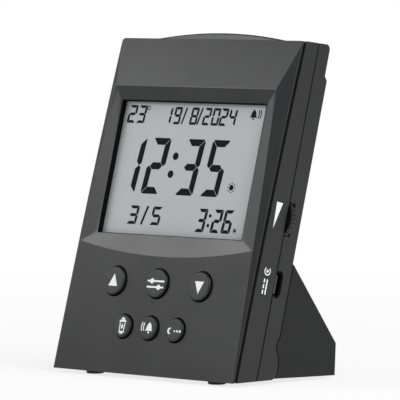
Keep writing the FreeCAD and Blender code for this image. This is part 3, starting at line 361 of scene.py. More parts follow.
def lay_on(bm, middle, across, up, thickness):
    """Gives flat patches their thickness and lays them on a surface."""
    for face in bm.faces:
        face.normal_update()
        if face.normal.z < 0.0:
            face.normal_flip()
    grown = bmesh.ops.extrude_face_region(bm, geom=list(bm.faces))
    raised = [item for item in grown["geom"] if isinstance(item, bmesh.types.BMVert)]
    bmesh.ops.translate(bm, verts=raised, vec=(0.0, 0.0, thickness))
    out = across.cross(up)
    turn = Matrix((across, up, out)).transposed().to_4x4()
    bmesh.ops.transform(bm, matrix=Matrix.Translation(middle) @ turn, verts=bm.verts)
    bmesh.ops.recalc_face_normals(bm, faces=bm.faces)


def reach(mesh, way):
    """The least and the most that a mesh reaches along a direction."""
    along = [vertex.co.dot(way) for vertex in mesh.vertices]
    return min(along), max(along)


def bell(bm, x, y, size):
    """A bell with its clapper, this wide at the mouth."""
    half = size / 2.0
    outline = [(-1.0, -0.62), (-0.72, -0.36), (-0.62, 0.25), (-0.42, 0.68), (-0.12, 0.86), (-0.12, 1.05)]
    corners = [(x + half * a, y + half * b) for a, b in outline]
    corners += [(x - half * a, y + half * b) for a, b in reversed(outline)]
    patch(bm, corners)
    clapper_drop = 0.9
    clapper_radius = 0.22
    disc(bm, x, y - half * clapper_drop, half * clapper_radius, sides=12)


def moon(bm, x, y, radius):
    """A crescent, open to the right."""
    horn = 50.0
    steps = 16
    corners = []
    for step in range(steps + 1):
        angle = math.radians(horn + (360.0 - 2.0 * horn) * step / steps)
        corners.append((x + radius * math.cos(angle), y + radius * math.sin(angle)))
    bite = 0.52
    shift = radius * bite
    horn_x = radius * math.cos(math.radians(horn)) - shift
    horn_y = radius * math.sin(math.radians(horn))
    inner = math.hypot(horn_x, horn_y)
    first = math.degrees(math.atan2(-horn_y, horn_x))
    for step in range(1, steps):
        angle = math.radians(360.0 + first - (360.0 + 2.0 * first) * step / steps)
        corners.append((x + shift + inner * math.cos(angle), y + inner * math.sin(angle)))
    patch(bm, corners)


def up_sign(bm):
    """An arrow head that points up."""
    patch(bm, [(0.1, 2.5), (-2.1, -2.0), (2.3, -2.0)])


def down_sign(bm):
    """An arrow head that points down."""
    patch(bm, [(-2.1, 1.7), (0.2, -2.8), (2.3, 1.7)])


def ok_sign(bm):
    """Two sliders, each a bar with a round knob on it."""
    bar_end = 4.1
    bar_half = 0.32
    knob_radius = 0.95
    knob_clear = 0.92
    for y, knob in ((0.75, -1.9), (-1.45, 1.7)):
        for left, right in ((-bar_end, knob - knob_clear), (knob + knob_clear, bar_end)):
            bottom = y - bar_half
            top = y + bar_half
            patch(bm, [(left, bottom), (right, bottom), (right, top), (left, top)])
        disc(bm, knob, y, knob_radius)


def lamp_sign(bm):
    """A lantern with its lid, two posts, a flame and a foot."""
    middle = 0.3
    patch(bm, [(-0.3, 3.0), (0.9, 3.0), (1.35, 2.2), (-0.75, 2.2)])
    patch(bm, [(-1.5, 1.8), (-1.15, 1.4), (1.75, 1.4), (2.1, 1.8), (1.4, 2.1), (-0.8, 2.1)])
    post_top = 1.2
    post_foot = -1.7
    for side in (-1.0, 1.0):
        top = [(middle + side * 1.45, post_top), (middle + side * 1.0, post_top)]
        foot = [(middle + side * 0.75, post_foot), (middle + side * 1.2, post_foot)]
        patch(bm, top + foot)
    patch(bm, [(middle, 0.9), (-0.15, -0.1), (-0.1, -0.8), (middle, -1.15), (0.7, -0.8), (0.75, -0.1)])
    patch(bm, [(-1.2, -1.9), (-0.8, -2.5), (1.4, -2.5), (1.8, -1.9)])
    patch(bm, [(-0.5, -2.6), (-0.3, -2.95), (0.9, -2.95), (1.1, -2.6)])


def bell_sign(bm):
    """A bell with two sound waves at its left."""
    bell(bm, 0.75, 0.1, size=3.7)
    for radius, start, sweep in ((2.75, 150.0, 60.0), (3.75, 155.0, 50.0)):
        band(bm, 0.75, 0.3, radius, width=0.4, start=start, sweep=sweep)


def doze_sign(bm):
    """A moon and three dots that grow."""
    level = -0.45
    moon(bm, -1.9, level, radius=1.15)
    for x, radius in ((0.4, 0.34), (1.7, 0.42), (3.05, 0.5)):
        disc(bm, x, level, radius, sides=16)


signs = (up_sign, ok_sign, down_sign, lamp_sign, bell_sign, doze_sign)
for name, draw in zip(key_names, signs):
    low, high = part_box(name + "_plunger")
    axis_point = (low + high) / 2.0
    cap_front = reach(frame["nodes"][name + "_button"].data, inward)[0]
    face_point = axis_point + inward * (cap_front - axis_point.dot(inward) + ink_sunk)
    bm = bmesh.new()
    draw(bm)
    lay_on(bm, face_point, rightward, upward, ink_thickness)
    sign = finish_piece(name + "_sign", bm, white_ink, name + "_key")

# ---------------------------------------------------------------- press bar
# The long bar on the roof is arched, with rounded edges all along. It is
# moulded in the same ABS as the key caps and slides in a slot of the roof.

moulding("roof_bar", "top_bar", cap_skin, "snooze_bar", radius=0.2 * MM, steps=3)

# ---------------------------------------------------------------- thumbwheel
# The ribbed black ABS wheel turns on the spindle of the volume control and
# stands a little out of the right side.

wheel_skin = moulded(
    "wheel_black_abs", (0.006, 0.006, 0.007), grains=4000.0,
    mottle=0.05, gloss=(0.30, 0.40), depth=0.004 * MM,
)
moulding("ribbed_wheel", "volume_wheel", wheel_skin, "thumbwheel", radius=0.07 * MM)

# ---------------------------------------------------------------- feet
# Four round feet of black silicone keep the clock from sliding. They are
# stuck into shallow recesses in the underside.

rubber = moulded(
    "black_silicone", (0.018, 0.018, 0.018), grains=2200.0,
    mottle=0.10, gloss=(0.62, 0.74), depth=0.010 * MM,
)
moulding("round_feet", "feet", rubber, "case", radius=0.4 * MM, steps=3)

# ---------------------------------------------------------------- window shade liner
# A thin near-black liner stands on the display film round the window. It is
# painted shade for the deep walls of the window and the dark line at its top.

# Near black: painted shade for the window's deep walls.
painted_shade_liner_colour = (0.003, 0.003, 0.003)
painted_shade_liner_skin = moulded(
    "painted_shade_liner_black", painted_shade_liner_colour, grains=2600.0,
    mottle=0.10, gloss=(0.8, 0.9), depth=0.006 * MM, shine=0.08,
)
painted_shade_liner_wall = 0.08 * MM
painted_shade_liner_height = 2.27 * MM
painted_shade_liner_sunk = 0.01 * MM
film_margin = 0.8 * MM
window_clearance = 0.01 * MM
film_low, film_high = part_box("display_polariser")
film_middle = (film_low + film_high) / 2.0
film_mesh = frame["nodes"]["display_polariser"].data
film_bottom, film_top = reach(film_mesh, upward)
film_tall = film_top - film_bottom
film_wide = film_high.x - film_low.x
display_middle = film_middle + inward * (reach(film_mesh, inward)[0] - film_middle.dot(inward))

half_wide = film_wide / 2.0 - film_margin - window_clearance
half_tall = film_tall / 2.0 - film_margin - window_clearance
bm = bmesh.new()
rings = []
for inset in (0.0, painted_shade_liner_wall):
    ring = []
    for across, up in ((-1, -1), (1, -1), (1, 1), (-1, 1)):
        ring.append(bm.verts.new(((half_wide - inset) * across, (half_tall - inset) * up, 0.0)))
    rings.append(ring)
outer, inner = rings
for step in range(4):
    bm.faces.new((outer[step - 1], outer[step], inner[step], inner[step - 1]))
lay_on(bm, display_middle - inward * painted_shade_liner_sunk, rightward, upward, painted_shade_liner_height)
painted_shade_liner = finish_piece("window_painted_shade_liner", bm, painted_shade_liner_skin, "case")

# ---------------------------------------------------------------- display film
# The front film of the liquid crystal display is satin light grey, with the
# fine grain of the reflecting film behind it.


def dress(node, material):
    """Gives its finish to a node whose shape is right as it is."""
    frame["nodes"][node].data.materials[0] = material


def between(nodes, link, source, low, high):
    """A value that goes from low to high while the source goes from 0 to 1."""
    span = nodes.new("ShaderNodeMapRange")
    span.inputs["To Min"].default_value = low
    span.inputs["To Max"].default_value = high
    link(source, span.inputs["Value"])
    return span.outputs[0]


def make_film():
    """Satin film with fine streaks along it and soft clouds."""
    streak_share = 0.35
    material, nodes, link, shader = new_material("satin_display_film")
    place = nodes.new("ShaderNodeTexCoord")
    stretch = nodes.new("ShaderNodeMapping")
    stretch.inputs["Scale"].default_value = (260.0, 2600.0, 2600.0)
    streak = nodes.new("ShaderNodeTexNoise")
    streak.inputs["Scale"].default_value = 1.0
    streak.inputs["Detail"].default_value = 3.0
    link(place.outputs["Object"], stretch.inputs["Vector"])
    link(stretch.outputs["Vector"], streak.inputs["Vector"])
    both = nodes.new("ShaderNodeMath")
    both.operation = "MULTIPLY_ADD"
    both.inputs[1].default_value = streak_share
    link(streak.outputs["Fac"], both.inputs[0])
    link(noise_on_piece(nodes, link, 26.0), both.inputs[2])
    shade = two_tones(nodes, link, both.outputs[0], (0.395, 0.400, 0.420), (0.425, 0.430, 0.450), 0.35)
    link(shade, shader.inputs["Base Color"])
    link(between(nodes, link, streak.outputs["Fac"], 0.42, 0.52), shader.inputs["Roughness"])
    shader.inputs["Specular IOR Level"].default_value = 0.25
    return material


dress("display_polariser", make_film())

# ---------------------------------------------------------------- display signs
# Dark segments show the room temperature, the date and the time, and below
# them which of the five prayers comes next, and when. They are drawn as thin
# dark shapes on the film, and lean slightly to the right.

segment_thickness = 0.02 * MM
segment_sunk = 0.005 * MM
digit_lean = 0.09


def make_dark_segments():
    """The blue-black of driven liquid crystal."""
    material, nodes, link, shader = new_material("liquid_crystal_dark")
    cloud = noise_on_piece(nodes, link, 900.0)
    shade = two_tones(nodes, link, cloud, (0.0045, 0.0043, 0.0065), (0.0075, 0.0072, 0.0100))
    link(shade, shader.inputs["Base Color"])
    shader.inputs["Roughness"].default_value = 0.6
    shader.inputs["Specular IOR Level"].default_value = 0.05
    return material


dark_segments = make_dark_segments()
segments_of = {
    "0": "abcdef",
    "1": "bc",
    "2": "abged",
    "3": "abgcd",
    "4": "fgbc",
    "5": "afgcd",
    "6": "afgedc",
    "8": "abcdefg",
    "9": "abcdfg",
}


def segment_corners(letter, a, b, t, g):
    """Corners of one segment, t thick, of a digit that reaches a and b from its middle.

    The segments stand g back from their corners, and their tips are cut blunt.
    """
    bluntness = 0.3
    cut = bluntness * t
    upright = [(a, b - g - cut), (a, g + cut), (a - cut, g), (a - t / 2.0, g), (a - t, t / 2.0 + g)]
    upright += [(a - t, b - t - g), (a - cut / 2.0, b - g - cut / 2.0)]
    level = [(g + cut - a, b), (a - g - cut, b), (a - g - cut / 2.0, b - cut / 2.0)]
    level += [(a - t - g, b - t), (t + g - a, b - t), (g + cut / 2.0 - a, b - cut / 2.0)]
    tip = a - t / 2.0 - g
    flank = a - t - g
    middle = [(-tip, 0), (-flank, t / 2.0), (flank, t / 2.0), (tip, 0), (flank, -t / 2.0), (-flank, -t / 2.0)]
    shapes = {"a": level, "b": upright, "g": middle}
    shapes["c"] = [(x, -y) for x, y in upright]
    shapes["d"] = [(x, -y) for x, y in level]
    shapes["e"] = [(-x, -y) for x, y in upright]
    shapes["f"] = [(-x, y) for x, y in upright]
    return shapes[letter]


def digits(bm, values, y, wide, tall, stroke, gap):
    """A row of digits, each with the place of its middle, in millimetres."""
    for value, x in values:
        for letter in segments_of[value]:
            corners = segment_corners(letter, wide / 2.0, tall / 2.0, stroke, gap)
            patch(bm, [(x + u + digit_lean * v, y + v) for u, v in corners])


def slash(bm, x, y, tall, stroke, lean):
    """A stroke between digits that leans by this much for each millimetre up."""
    half = tall / 2.0
    run = half * lean
    side = stroke / 2.0
    foot = [(x - run - side, y - half), (x - run + side, y - half)]
    head = [(x + run + side, y + half), (x + run - side, y + half)]
    patch(bm, foot + head)


def show(name, bm):
    """Lays what is drawn on the film."""
    lay_on(bm, display_middle - inward * segment_sunk, rightward, upward, segment_thickness)
    sign = finish_piece(name, bm, dark_segments, "case")


bm = bmesh.new()
hours_and_minutes = (("1", -26.95), ("2", -14.95), ("3", 2.1), ("5", 14.5))
digits(bm, hours_and_minutes, y=1.1, wide=8.9, tall=20.6, stroke=2.55, gap=0.12)
for x, y in ((-6.1, 4.9), (-7.0, -1.7)):
    disc(bm, x, y, radius=1.4)
show("time_digits", bm)

bm = bmesh.new()
digits(bm, (("2", -31.6), ("3", -26.9)), y=19.85, wide=4.1, tall=6.6, stroke=1.0, gap=0.07)
band(bm, -23.9, 22.2, radius=0.72, width=0.34, start=0.0, sweep=360.0, steps=20)
show("temperature_digits", bm)

bm = bmesh.new()
date_row = 19.75
day_and_month = (("1", -13.6), ("9", -8.95), ("8", -0.6))
year = (("2", 5.7), ("0", 10.0), ("2", 13.9), ("4", 18.2))
digits(bm, day_and_month + year, y=date_row, wide=3.6, tall=6.4, stroke=0.95, gap=0.06)
for x in (-5.55, 2.15):
    slash(bm, x, date_row, tall=6.1, stroke=0.75, lean=0.26)
show("date_digits", bm)

bm = bmesh.new()
count_row = -17.1
digits(bm, (("3", -21.7), ("5", -10.2)), y=count_row, wide=4.7, tall=6.8, stroke=1.1, gap=0.08)
slash(bm, -16.0, count_row, tall=6.8, stroke=1.0, lean=0.3)
show("prayer_count_digits", bm)

bm = bmesh.new()
digits(bm, (("3", 12.35), ("2", 19.9), ("6", 25.2)), y=-17.85, wide=4.5, tall=8.5, stroke=1.25, gap=0.08)
for x, y in ((16.26, -16.05), (16.0, -19.55)):
    disc(bm, x, y, radius=0.65, sides=16)
show("prayer_time_digits", bm)

bm = bmesh.new()
ray_count = 8
ray_sweep = 18.0
for x, y, radius in ((23.9, -5.55, 1.05), (29.3, -20.9, 0.6)):
    disc(bm, x, y, radius, sides=20)
    for ray in range(ray_count):
        start = 360.0 / ray_count * ray - ray_sweep / 2.0
        band(bm, x, y, radius * 1.62, radius * 0.42, start, ray_sweep, steps=2)
show("afternoon_signs", bm)

bm = bmesh.new()
bell(bm, 28.2, 21.0, size=3.6)
for radius, start, sweep in ((2.6, -32.0, 64.0), (3.5, -28.0, 56.0)):
    band(bm, 28.2, 21.2, radius, width=0.42, start=start, sweep=sweep)
show("alarm_sign", bm)

# ---------------------------------------------------------------- side signs
# A wedge beside the wheel shows which way is louder, and the sign of a direct
# supply stands beside the socket. Both are printed on the right side.

side_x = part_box("front_frame")[1].x
wheel_middle = Vector(next(j["pos_m"] for j in frame["joints"] if j["name"] == "volume_turn"))
socket_low, socket_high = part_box("supply_socket_shell")
socket_middle = (socket_low + socket_high) / 2.0


def print_on_side(name, bm, middle):
    """Prints what is drawn on the right side, beside this point."""
    middle = Vector((side_x - ink_sunk, middle.y, middle.z))
    lay_on(bm, middle, inward, upward, ink_thickness)
    sign = finish_piece(name, bm, white_ink, "case")


bm = bmesh.new()
patch(bm, [(-8.0, 4.8), (-7.6, -4.6), (-4.9, 4.9)])
print_on_side("volume_sign", bm, wheel_middle)

bm = bmesh.new()
patch(bm, [(-6.1, -4.8), (-5.5, -4.8), (-5.5, 0.6), (-6.1, 0.6)])
dash_long = 1.4
for low in (-4.8, -2.8, -0.8):
    patch(bm, [(-7.5, low), (-6.9, low), (-6.9, low + dash_long), (-7.5, low + dash_long)])
band(bm, -6.5, 3.4, radius=1.35, width=0.42, start=130.0, sweep=280.0, steps=20)
disc(bm, -6.5, 3.4, radius=0.55, sides=16)
print_on_side("supply_sign", bm, socket_middle)

# ---------------------------------------------------------------- screws
# Two pan head screws close the case at the back, and two long ones pass from
# the battery room through the base. All are plated steel with a cross recess.


def make_plating():
    """Nickel plating with fine scuffs."""
    material, nodes, link, shader = new_material("nickel_plated_steel")
    scuff = noise_on_piece(nodes, link, 1800.0, 5.0)
    shade = two_tones(nodes, link, scuff, (0.42, 0.41, 0.39), (0.66, 0.65, 0.62))
    link(shade, shader.inputs["Base Color"])
    link(between(nodes, link, scuff, 0.22, 0.42), shader.inputs["Roughness"])
    shader.inputs["Metallic"].default_value = 1.0
    return material


plating = make_plating()
head_radius = 2.4 * MM
head_height = 1.5 * MM
head_rim = 0.45 * MM
shank_radius = 1.12 * MM
thread_pitch = 0.8 * MM
thread_depth = 0.22 * MM
tip_radius = 0.4 * MM
tip_height = 0.2 * MM
screw_sides = 28
pole_weld = 1e-7
recess_long = 1.45 * MM
recess_wide = 0.3 * MM
recess_deep = 0.8 * MM


def screw_mesh(length):
    """A screw along Z with its seat at zero, head up and shank down."""
    bm = bmesh.new()
    profile = [(0.0, head_height), (head_radius - head_rim, head_height)]
    profile += [(head_radius, head_height - head_rim), (head_radius, 0.0), (shank_radius, 0.0)]
    turns = int((length - head_radius) / thread_pitch)
    for step in range(turns):
        z = -thread_pitch * (step + 0.5)
        profile += [(shank_radius - thread_depth, z), (shank_radius, z - thread_pitch / 2.0)]
    profile += [(tip_radius, -length + tip_height), (0.0, -length)]
    verts = [bm.verts.new((radius, 0.0, z)) for radius, z in profile]
    edges = [bm.edges.new(pair) for pair in zip(verts, verts[1:])]
    bmesh.ops.spin(
        bm,
        geom=verts + edges,
        cent=(0, 0, 0),
        axis=(0, 0, 1),
        angle=2.0 * math.pi,
        steps=screw_sides,
        use_merge=True,
    )
    bmesh.ops.remove_doubles(bm, verts=bm.verts, dist=pole_weld)
    bmesh.ops.recalc_face_normals(bm, faces=bm.faces)
    return bm


def recessed(bm):
    """Cuts a cross into the head with two crossed bars."""
    body = bpy.data.objects.new("screw_blank", bpy.data.meshes.new("screw_blank"))
    bm.to_mesh(body.data)
    bm.free()
    bpy.context.scene.collection.objects.link(body)
    bars = []
    for turn in (0.0, math.pi / 2.0):
        bar = bmesh.new()
        size = Matrix.Diagonal((2.0 * recess_long, 2.0 * recess_wide, 2.0 * recess_deep, 1.0))
        lift = Matrix.Translation((0.0, 0.0, head_height))
        bmesh.ops.create_cube(bar, size=1.0, matrix=lift @ Matrix.Rotation(turn, 4, "Z") @ size)
        cutter = bpy.data.objects.new("cross_bar", bpy.data.meshes.new("cross_bar"))
        bar.to_mesh(cutter.data)
        bar.free()
        bpy.context.scene.collection.objects.link(cutter)
        cut = body.modifiers.new("cross", "BOOLEAN")
        cut.object = cutter
        cut.operation = "DIFFERENCE"
        cut.solver = "EXACT"
        bars.append(cutter)
    ready = bpy.context.evaluated_depsgraph_get()
    result = bmesh.new()
    result.from_mesh(body.evaluated_get(ready).to_mesh())
    for piece in bars + [body]:
        bpy.data.objects.remove(piece)
    return result


def place_screws(name, node):
    """One screw at each side, along the axis on which the node's screws lie."""
    low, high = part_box(node)
    mesh = frame["nodes"][node].data
    front, back = reach(mesh, inward)
    bottom, top = reach(mesh, upward)
    seat = back - head_height
    axis_up = (top + bottom) / 2.0
    single = recessed(screw_mesh(seat - front))
    shape = bpy.data.meshes.new(name + "_single")
    single.to_mesh(shape)
    single.free()
    turn = Matrix((rightward, -upward, inward)).transposed().to_4x4()
    bm = bmesh.new()
    for x in (low.x + head_radius, high.x - head_radius):
        middle = Vector((x, 0.0, 0.0)) + inward * seat + upward * axis_up
        copy = bmesh.new()
        copy.from_mesh(shape)
        bmesh.ops.transform(copy, matrix=Matrix.Translation(middle) @ turn, verts=copy.verts)
        placed = bpy.data.meshes.new(name + "_placed")
        copy.to_mesh(placed)
        copy.free()
        bm.from_mesh(placed)
        bpy.data.meshes.remove(placed)
    bpy.data.meshes.remove(shape)
    piece = finish_piece(name, bm, plating, "case")
    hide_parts(node)


place_screws("case_screw_pair", "case_screws")
place_screws("base_screw_pair", "base_screws")

# ---------------------------------------------------------------- supply socket
# The small oval socket has a drawn shell of blackened steel and a grey tongue
# with gold contacts on both of its faces.

socket_skin = moulded(
    "blackened_steel", (0.010, 0.010, 0.011), grains=3400.0,
    mottle=0.08, gloss=(0.32, 0.42), depth=0.003 * MM,
)
socket_skin.node_tree.nodes["Principled BSDF"].inputs["Metallic"].default_value = 1.0
dress("supply_socket_shell", socket_skin)

tongue_skin = moulded(
    "tongue_grey", (0.06, 0.06, 0.063), grains=3000.0,
    mottle=0.05, gloss=(0.3, 0.4), depth=0.003 * MM,
)
dress("supply_socket_tongue", tongue_skin)


def make_gold():
    """A thin gold flash, slightly worn."""
    material, nodes, link, shader = new_material("gold_flash")
    wear = noise_on_piece(nodes, link, 2500.0)
    link(two_tones(nodes, link, wear, (0.74, 0.52, 0.22), (0.90, 0.68, 0.34)), shader.inputs["Base Color"])
    shader.inputs["Metallic"].default_value = 1.0
    shader.inputs["Roughness"].default_value = 0.3
    return material


tongue_low, tongue_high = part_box("supply_socket_tongue")
tongue_middle = (tongue_low + tongue_high) / 2.0
tongue_half = 0.35 * MM
contact_count = 6
contact_step = 1.0 * MM
contact_long = 4.6 * MM
contact_thick = 0.06 * MM
contact_wide = 0.42 * MM
contact_size = Matrix.Diagonal((contact_long, contact_thick, contact_wide, 1.0))
turn = Matrix((rightward, inward, upward)).transposed().to_4x4()
bm = bmesh.new()
for side in (-1.0, 1.0):
    for step in range(contact_count):
        along = (step - (contact_count - 1) / 2.0) * contact_step
        middle = tongue_middle + inward * side * tongue_half + upward * along
        bmesh.ops.create_cube(bm, size=1.0, matrix=Matrix.Translation(middle) @ turn @ contact_size)
contacts = finish_piece("socket_contacts", bm, make_gold(), "case")

# ---------------------------------------------------------------- speaker
# A square-framed speaker sits behind the sound slots: a pressed steel frame,
# a magnet with a plated cup and a thin film cone.

dress("speaker_basket", plating)
dress("speaker_magnet", plating)

white_skin = moulded(
    "white_moulding", (0.74, 0.74, 0.72), grains=2600.0,
    mottle=0.03, gloss=(0.45, 0.55), depth=0.005 * MM,
)
dress("speaker_cone", white_skin)

# ---------------------------------------------------------------- display stack
# Behind the film lie the two glass sheets, the clear light guide and the
# white holder that clips them together, with rubber strips as contacts.

dress("display_holder", white_skin)


def make_clear(name, tint, rough, through):
    """A clear sheet, this rough where it is smoothest, that lets this share of light through."""
    material, nodes, link, shader = new_material(name)
    dimming = 0.96
    roughening = 0.06
    haze = noise_on_piece(nodes, link, 300.0)
    darker = [part * dimming for part in tint]
    link(two_tones(nodes, link, haze, darker, tint), shader.inputs["Base Color"])
    link(between(nodes, link, haze, rough, rough + roughening), shader.inputs["Roughness"])
    shader.inputs["Transmission Weight"].default_value = through
    shader.inputs["IOR"].default_value = 1.5
    return material


dress("display_glass", make_clear("float_glass", (0.86, 0.92, 0.90), rough=0.03, through=1.0))
dress("light_guide", make_clear("clear_acrylic", (0.92, 0.94, 0.96), rough=0.12, through=0.9))

strip_skin = moulded(
    "strip_rubber_pink", (0.52, 0.27, 0.29), grains=1500.0,
    mottle=0.25, gloss=(0.6, 0.7), depth=0.01 * MM,
)
dress("contact_strips", strip_skin)

# ---------------------------------------------------------------- boards
# The main board and the narrow board of the backlight are green laminate
# with copper tracks under the solder mask.


def make_board():
    """Green solder mask, lighter where tracks lie under it."""
    material, nodes, link, shader = new_material("green_solder_mask")
    place = nodes.new("ShaderNodeTexCoord")
    turn = nodes.new("ShaderNodeMapping")
    turn.inputs["Rotation"].default_value = (math.pi / 2.0, 0.0, 0.0)
    tracks = nodes.new("ShaderNodeTexBrick")
    tracks.inputs["Scale"].default_value = 60.0
    tracks.inputs["Mortar Size"].default_value = 0.035
    tracks.inputs["Color1"].default_value = (0.016, 0.125, 0.062, 1.0)
    tracks.inputs["Color2"].default_value = (0.020, 0.150, 0.072, 1.0)
    tracks.inputs["Mortar"].default_value = (0.045, 0.260, 0.110, 1.0)
    link(place.outputs["Object"], turn.inputs["Vector"])
    link(turn.outputs["Vector"], tracks.inputs["Vector"])
    link(tracks.outputs["Color"], shader.inputs["Base Color"])
    unevenness = noise_on_piece(nodes, link, 400.0)
    link(between(nodes, link, unevenness, 0.22, 0.36), shader.inputs["Roughness"])
    return material


board_skin = make_board()
for node in ("main_board", "backlight_strip"):
    dress(node, board_skin)

# ---------------------------------------------------------------- board parts
# Black packages, the key switches with their cream plungers, the volume
# control and the temperature bead are soldered to the main board.

package_skin = moulded(
    "black_package", (0.018, 0.018, 0.020), grains=1800.0,
    mottle=0.08, gloss=(0.38, 0.5), depth=0.006 * MM,
)
for node in ("board_components", "temperature_sensor", "button_switches", "top_bar_switch", "volume_control"):
    dress(node, package_skin)

plunger_skin = moulded(
    "cream_plunger", (0.58, 0.53, 0.42), grains=2400.0,
    mottle=0.04, gloss=(0.4, 0.5), depth=0.004 * MM,
)
for name in (*key_names, "top_bar"):
    dress(name + "_plunger", plunger_skin)

# ---------------------------------------------------------------- cells
# Two plain round cells lie one above the other in the base, in a shrink
# jacket with a copper coloured band towards each end. Plated contacts join
# them to the board.

cell_half = 25.5 * MM


def make_jacket():
    """A dark blue jacket whose bands follow the distance from the cell's middle."""
    material, nodes, link, shader = new_material("cell_shrink_jacket")
    place = nodes.new("ShaderNodeTexCoord")
    split = nodes.new("ShaderNodeSeparateXYZ")
    size = nodes.new("ShaderNodeMath")
    size.operation = "ABSOLUTE"
    share = nodes.new("ShaderNodeMath")
    share.operation = "MULTIPLY"
    share.inputs[1].default_value = 1.0 / cell_half
    link(place.outputs["Object"], split.inputs[0])
    link(split.outputs["X"], size.inputs[0])
    link(size.outputs[0], share.inputs[0])
    bands = nodes.new("ShaderNodeValToRGB")
    bands.color_ramp.interpolation = "CONSTANT"
    bands.color_ramp.elements[0].color = (0.055, 0.170, 0.235, 1.0)
    bands.color_ramp.elements[1].position = 0.62
    bands.color_ramp.elements[1].color = (0.520, 0.250, 0.110, 1.0)
    bare_end = bands.color_ramp.elements.new(0.965)
    bare_end.color = (0.62, 0.61, 0.58, 1.0)
    link(share.outputs[0], bands.inputs["Fac"])
    link(bands.outputs["Color"], shader.inputs["Base Color"])
    wrinkle = noise_on_piece(nodes, link, 150.0)
    link(between(nodes, link, wrinkle, 0.2, 0.35), shader.inputs["Roughness"])
    return material


jacket = make_jacket()
for node in ("battery_cell_lower", "battery_cell_upper"):
    dress(node, jacket)

for node in ("battery_bridge", "battery_tabs"):
    dress(node, plating)

# ---------------------------------------------------------------- floor and sky
# A plain pale floor and a white surround, with soft light from large lamps.
# The camera sees the surround white, while the clock gets a dimmer light.


def seen_directly(nodes, link):
    """1 for rays from the camera, from gloss and through glass, otherwise 0."""
    path = nodes.new("ShaderNodeLightPath")
    first = nodes.new("ShaderNodeMath")
    first.operation = "MAXIMUM"
    second = nodes.new("ShaderNodeMath")
    second.operation = "MAXIMUM"
    link(path.outputs["Is Camera Ray"], first.inputs[0])
    link(path.outputs["Is Glossy Ray"], first.inputs[1])
    link(first.outputs[0], second.inputs[0])
    link(path.outputs["Is Transmission Ray"], second.inputs[1])
    return second.outputs[0]


def make_floor_paint():
    """Matt pale paint that fades to plain white away from the clock."""
    material, nodes, link, shader = new_material("pale_floor")
    shader.inputs["Base Color"].default_value = (0.82, 0.82, 0.82, 1.0)
    shader.inputs["Roughness"].default_value = 0.9
    shader.inputs["Specular IOR Level"].default_value = 0.0
    glow = nodes.new("ShaderNodeEmission")
    place = nodes.new("ShaderNodeTexCoord")
    away = nodes.new("ShaderNodeVectorMath")
    away.operation = "LENGTH"
    fade = nodes.new("ShaderNodeMapRange")
    fade.inputs["From Min"].default_value = 0.12
    fade.inputs["From Max"].default_value = 0.55
    fade.inputs["To Min"].default_value = 0.80
    fade.inputs["To Max"].default_value = 1.0
    share = nodes.new("ShaderNodeMath")
    share.operation = "MULTIPLY"
    mix = nodes.new("ShaderNodeMixShader")
    link(place.outputs["Object"], away.inputs[0])
    link(away.outputs["Value"], fade.inputs["Value"])
    link(fade.outputs[0], share.inputs[1])
    link(seen_directly(nodes, link), share.inputs[0])
    link(share.outputs[0], mix.inputs["Fac"])
    link(shader.outputs[0], mix.inputs[1])
    link(glow.outputs[0], mix.inputs[2])
    link(mix.outputs[0], nodes["Material Output"].inputs["Surface"])
    return material


floor_half = 4.0
bm = bmesh.new()
bmesh.ops.create_grid(bm, x_segments=1, y_segments=1, size=floor_half)
floor_mesh = bpy.data.meshes.new("floor")
bm.to_mesh(floor_mesh)
bm.free()
floor_mesh.materials.append(make_floor_paint())
floor = bpy.data.objects.new("floor", floor_mesh)
bpy.context.scene.collection.objects.link(floor)

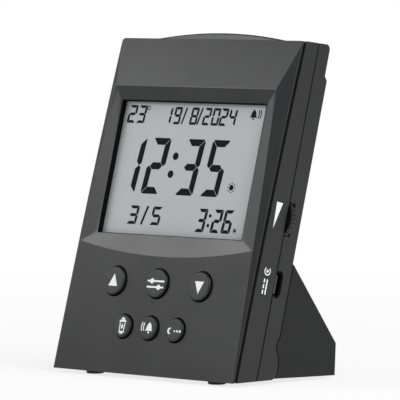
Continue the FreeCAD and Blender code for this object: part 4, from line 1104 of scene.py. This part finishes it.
world = bpy.data.worlds.new("white_surround")
bpy.context.scene.world = world
world.use_nodes = True
world_nodes = world.node_tree.nodes
world_link = world.node_tree.links.new
seen_white = world_nodes.new("ShaderNodeBackground")
seen_white.inputs["Color"].default_value = (1.0, 1.0, 1.0, 1.0)
soft_light = world_nodes["Background"]
soft_light.inputs["Color"].default_value = (0.96, 0.98, 1.0, 1.0)
soft_light.inputs["Strength"].default_value = 0.30
choose = world_nodes.new("ShaderNodeMixShader")
path = world_nodes.new("ShaderNodeLightPath")
world_link(path.outputs["Is Camera Ray"], choose.inputs["Fac"])
world_link(soft_light.outputs[0], choose.inputs[1])
world_link(seen_white.outputs[0], choose.inputs[2])
world_link(choose.outputs[0], world_nodes["World Output"].inputs["Surface"])

lamp_distance = 1.5
lamp_aim = Vector((0.0, 0.0, 0.06))
flat_box = (0.94, 0.32)
square_box = (1.0, 1.0)


def softbox(name, azimuth, height, size, power):
    """A soft lamp round the object, 0 degrees in front and 90 at the right."""
    lamp = bpy.data.lights.new(name, "AREA")
    lamp.shape = "RECTANGLE"
    lamp.size, lamp.size_y = size
    lamp.energy = power
    holder = bpy.data.objects.new(name, lamp)
    bpy.context.scene.collection.objects.link(holder)
    turn = math.radians(azimuth)
    rise = math.radians(height)
    way = Vector((math.sin(turn) * math.cos(rise), -math.cos(turn) * math.cos(rise), math.sin(rise)))
    holder.location = lamp_aim + way * lamp_distance
    holder.rotation_euler = (-way).to_track_quat("-Z", "Y").to_euler()


softbox("front_left_lamp", azimuth=-44.0, height=29.0, size=flat_box, power=8.7)
softbox("left_lamp", azimuth=-68.0, height=17.0, size=flat_box, power=1.8)
softbox("right_front_lamp", azimuth=60.0, height=30.0, size=square_box, power=3.0)
softbox("right_lamp", azimuth=95.0, height=45.0, size=square_box, power=18.7)

# ---------------------------------------------------------------- camera
# A long lens looks at the clock from its front right, a little from above,
# and from so far that the sides of the case look nearly parallel.

camera_data = bpy.data.cameras.new("camera")
camera_data.sensor_fit = "HORIZONTAL"
camera_data.sensor_width = 36.0
camera_data.lens = 400.9
camera_data.clip_end = 20.0
camera = bpy.data.objects.new("camera", camera_data)
bpy.context.scene.collection.objects.link(camera)
camera.location = Vector((1101.29, -1138.243, 147.04)) * MM
look = Vector((-0.693673, 0.718316, -0.053289))
camera.rotation_euler = look.to_track_quat("-Z", "Y").to_euler()
bpy.context.scene.camera = camera
bpy.context.scene.view_settings.view_transform = "Standard"
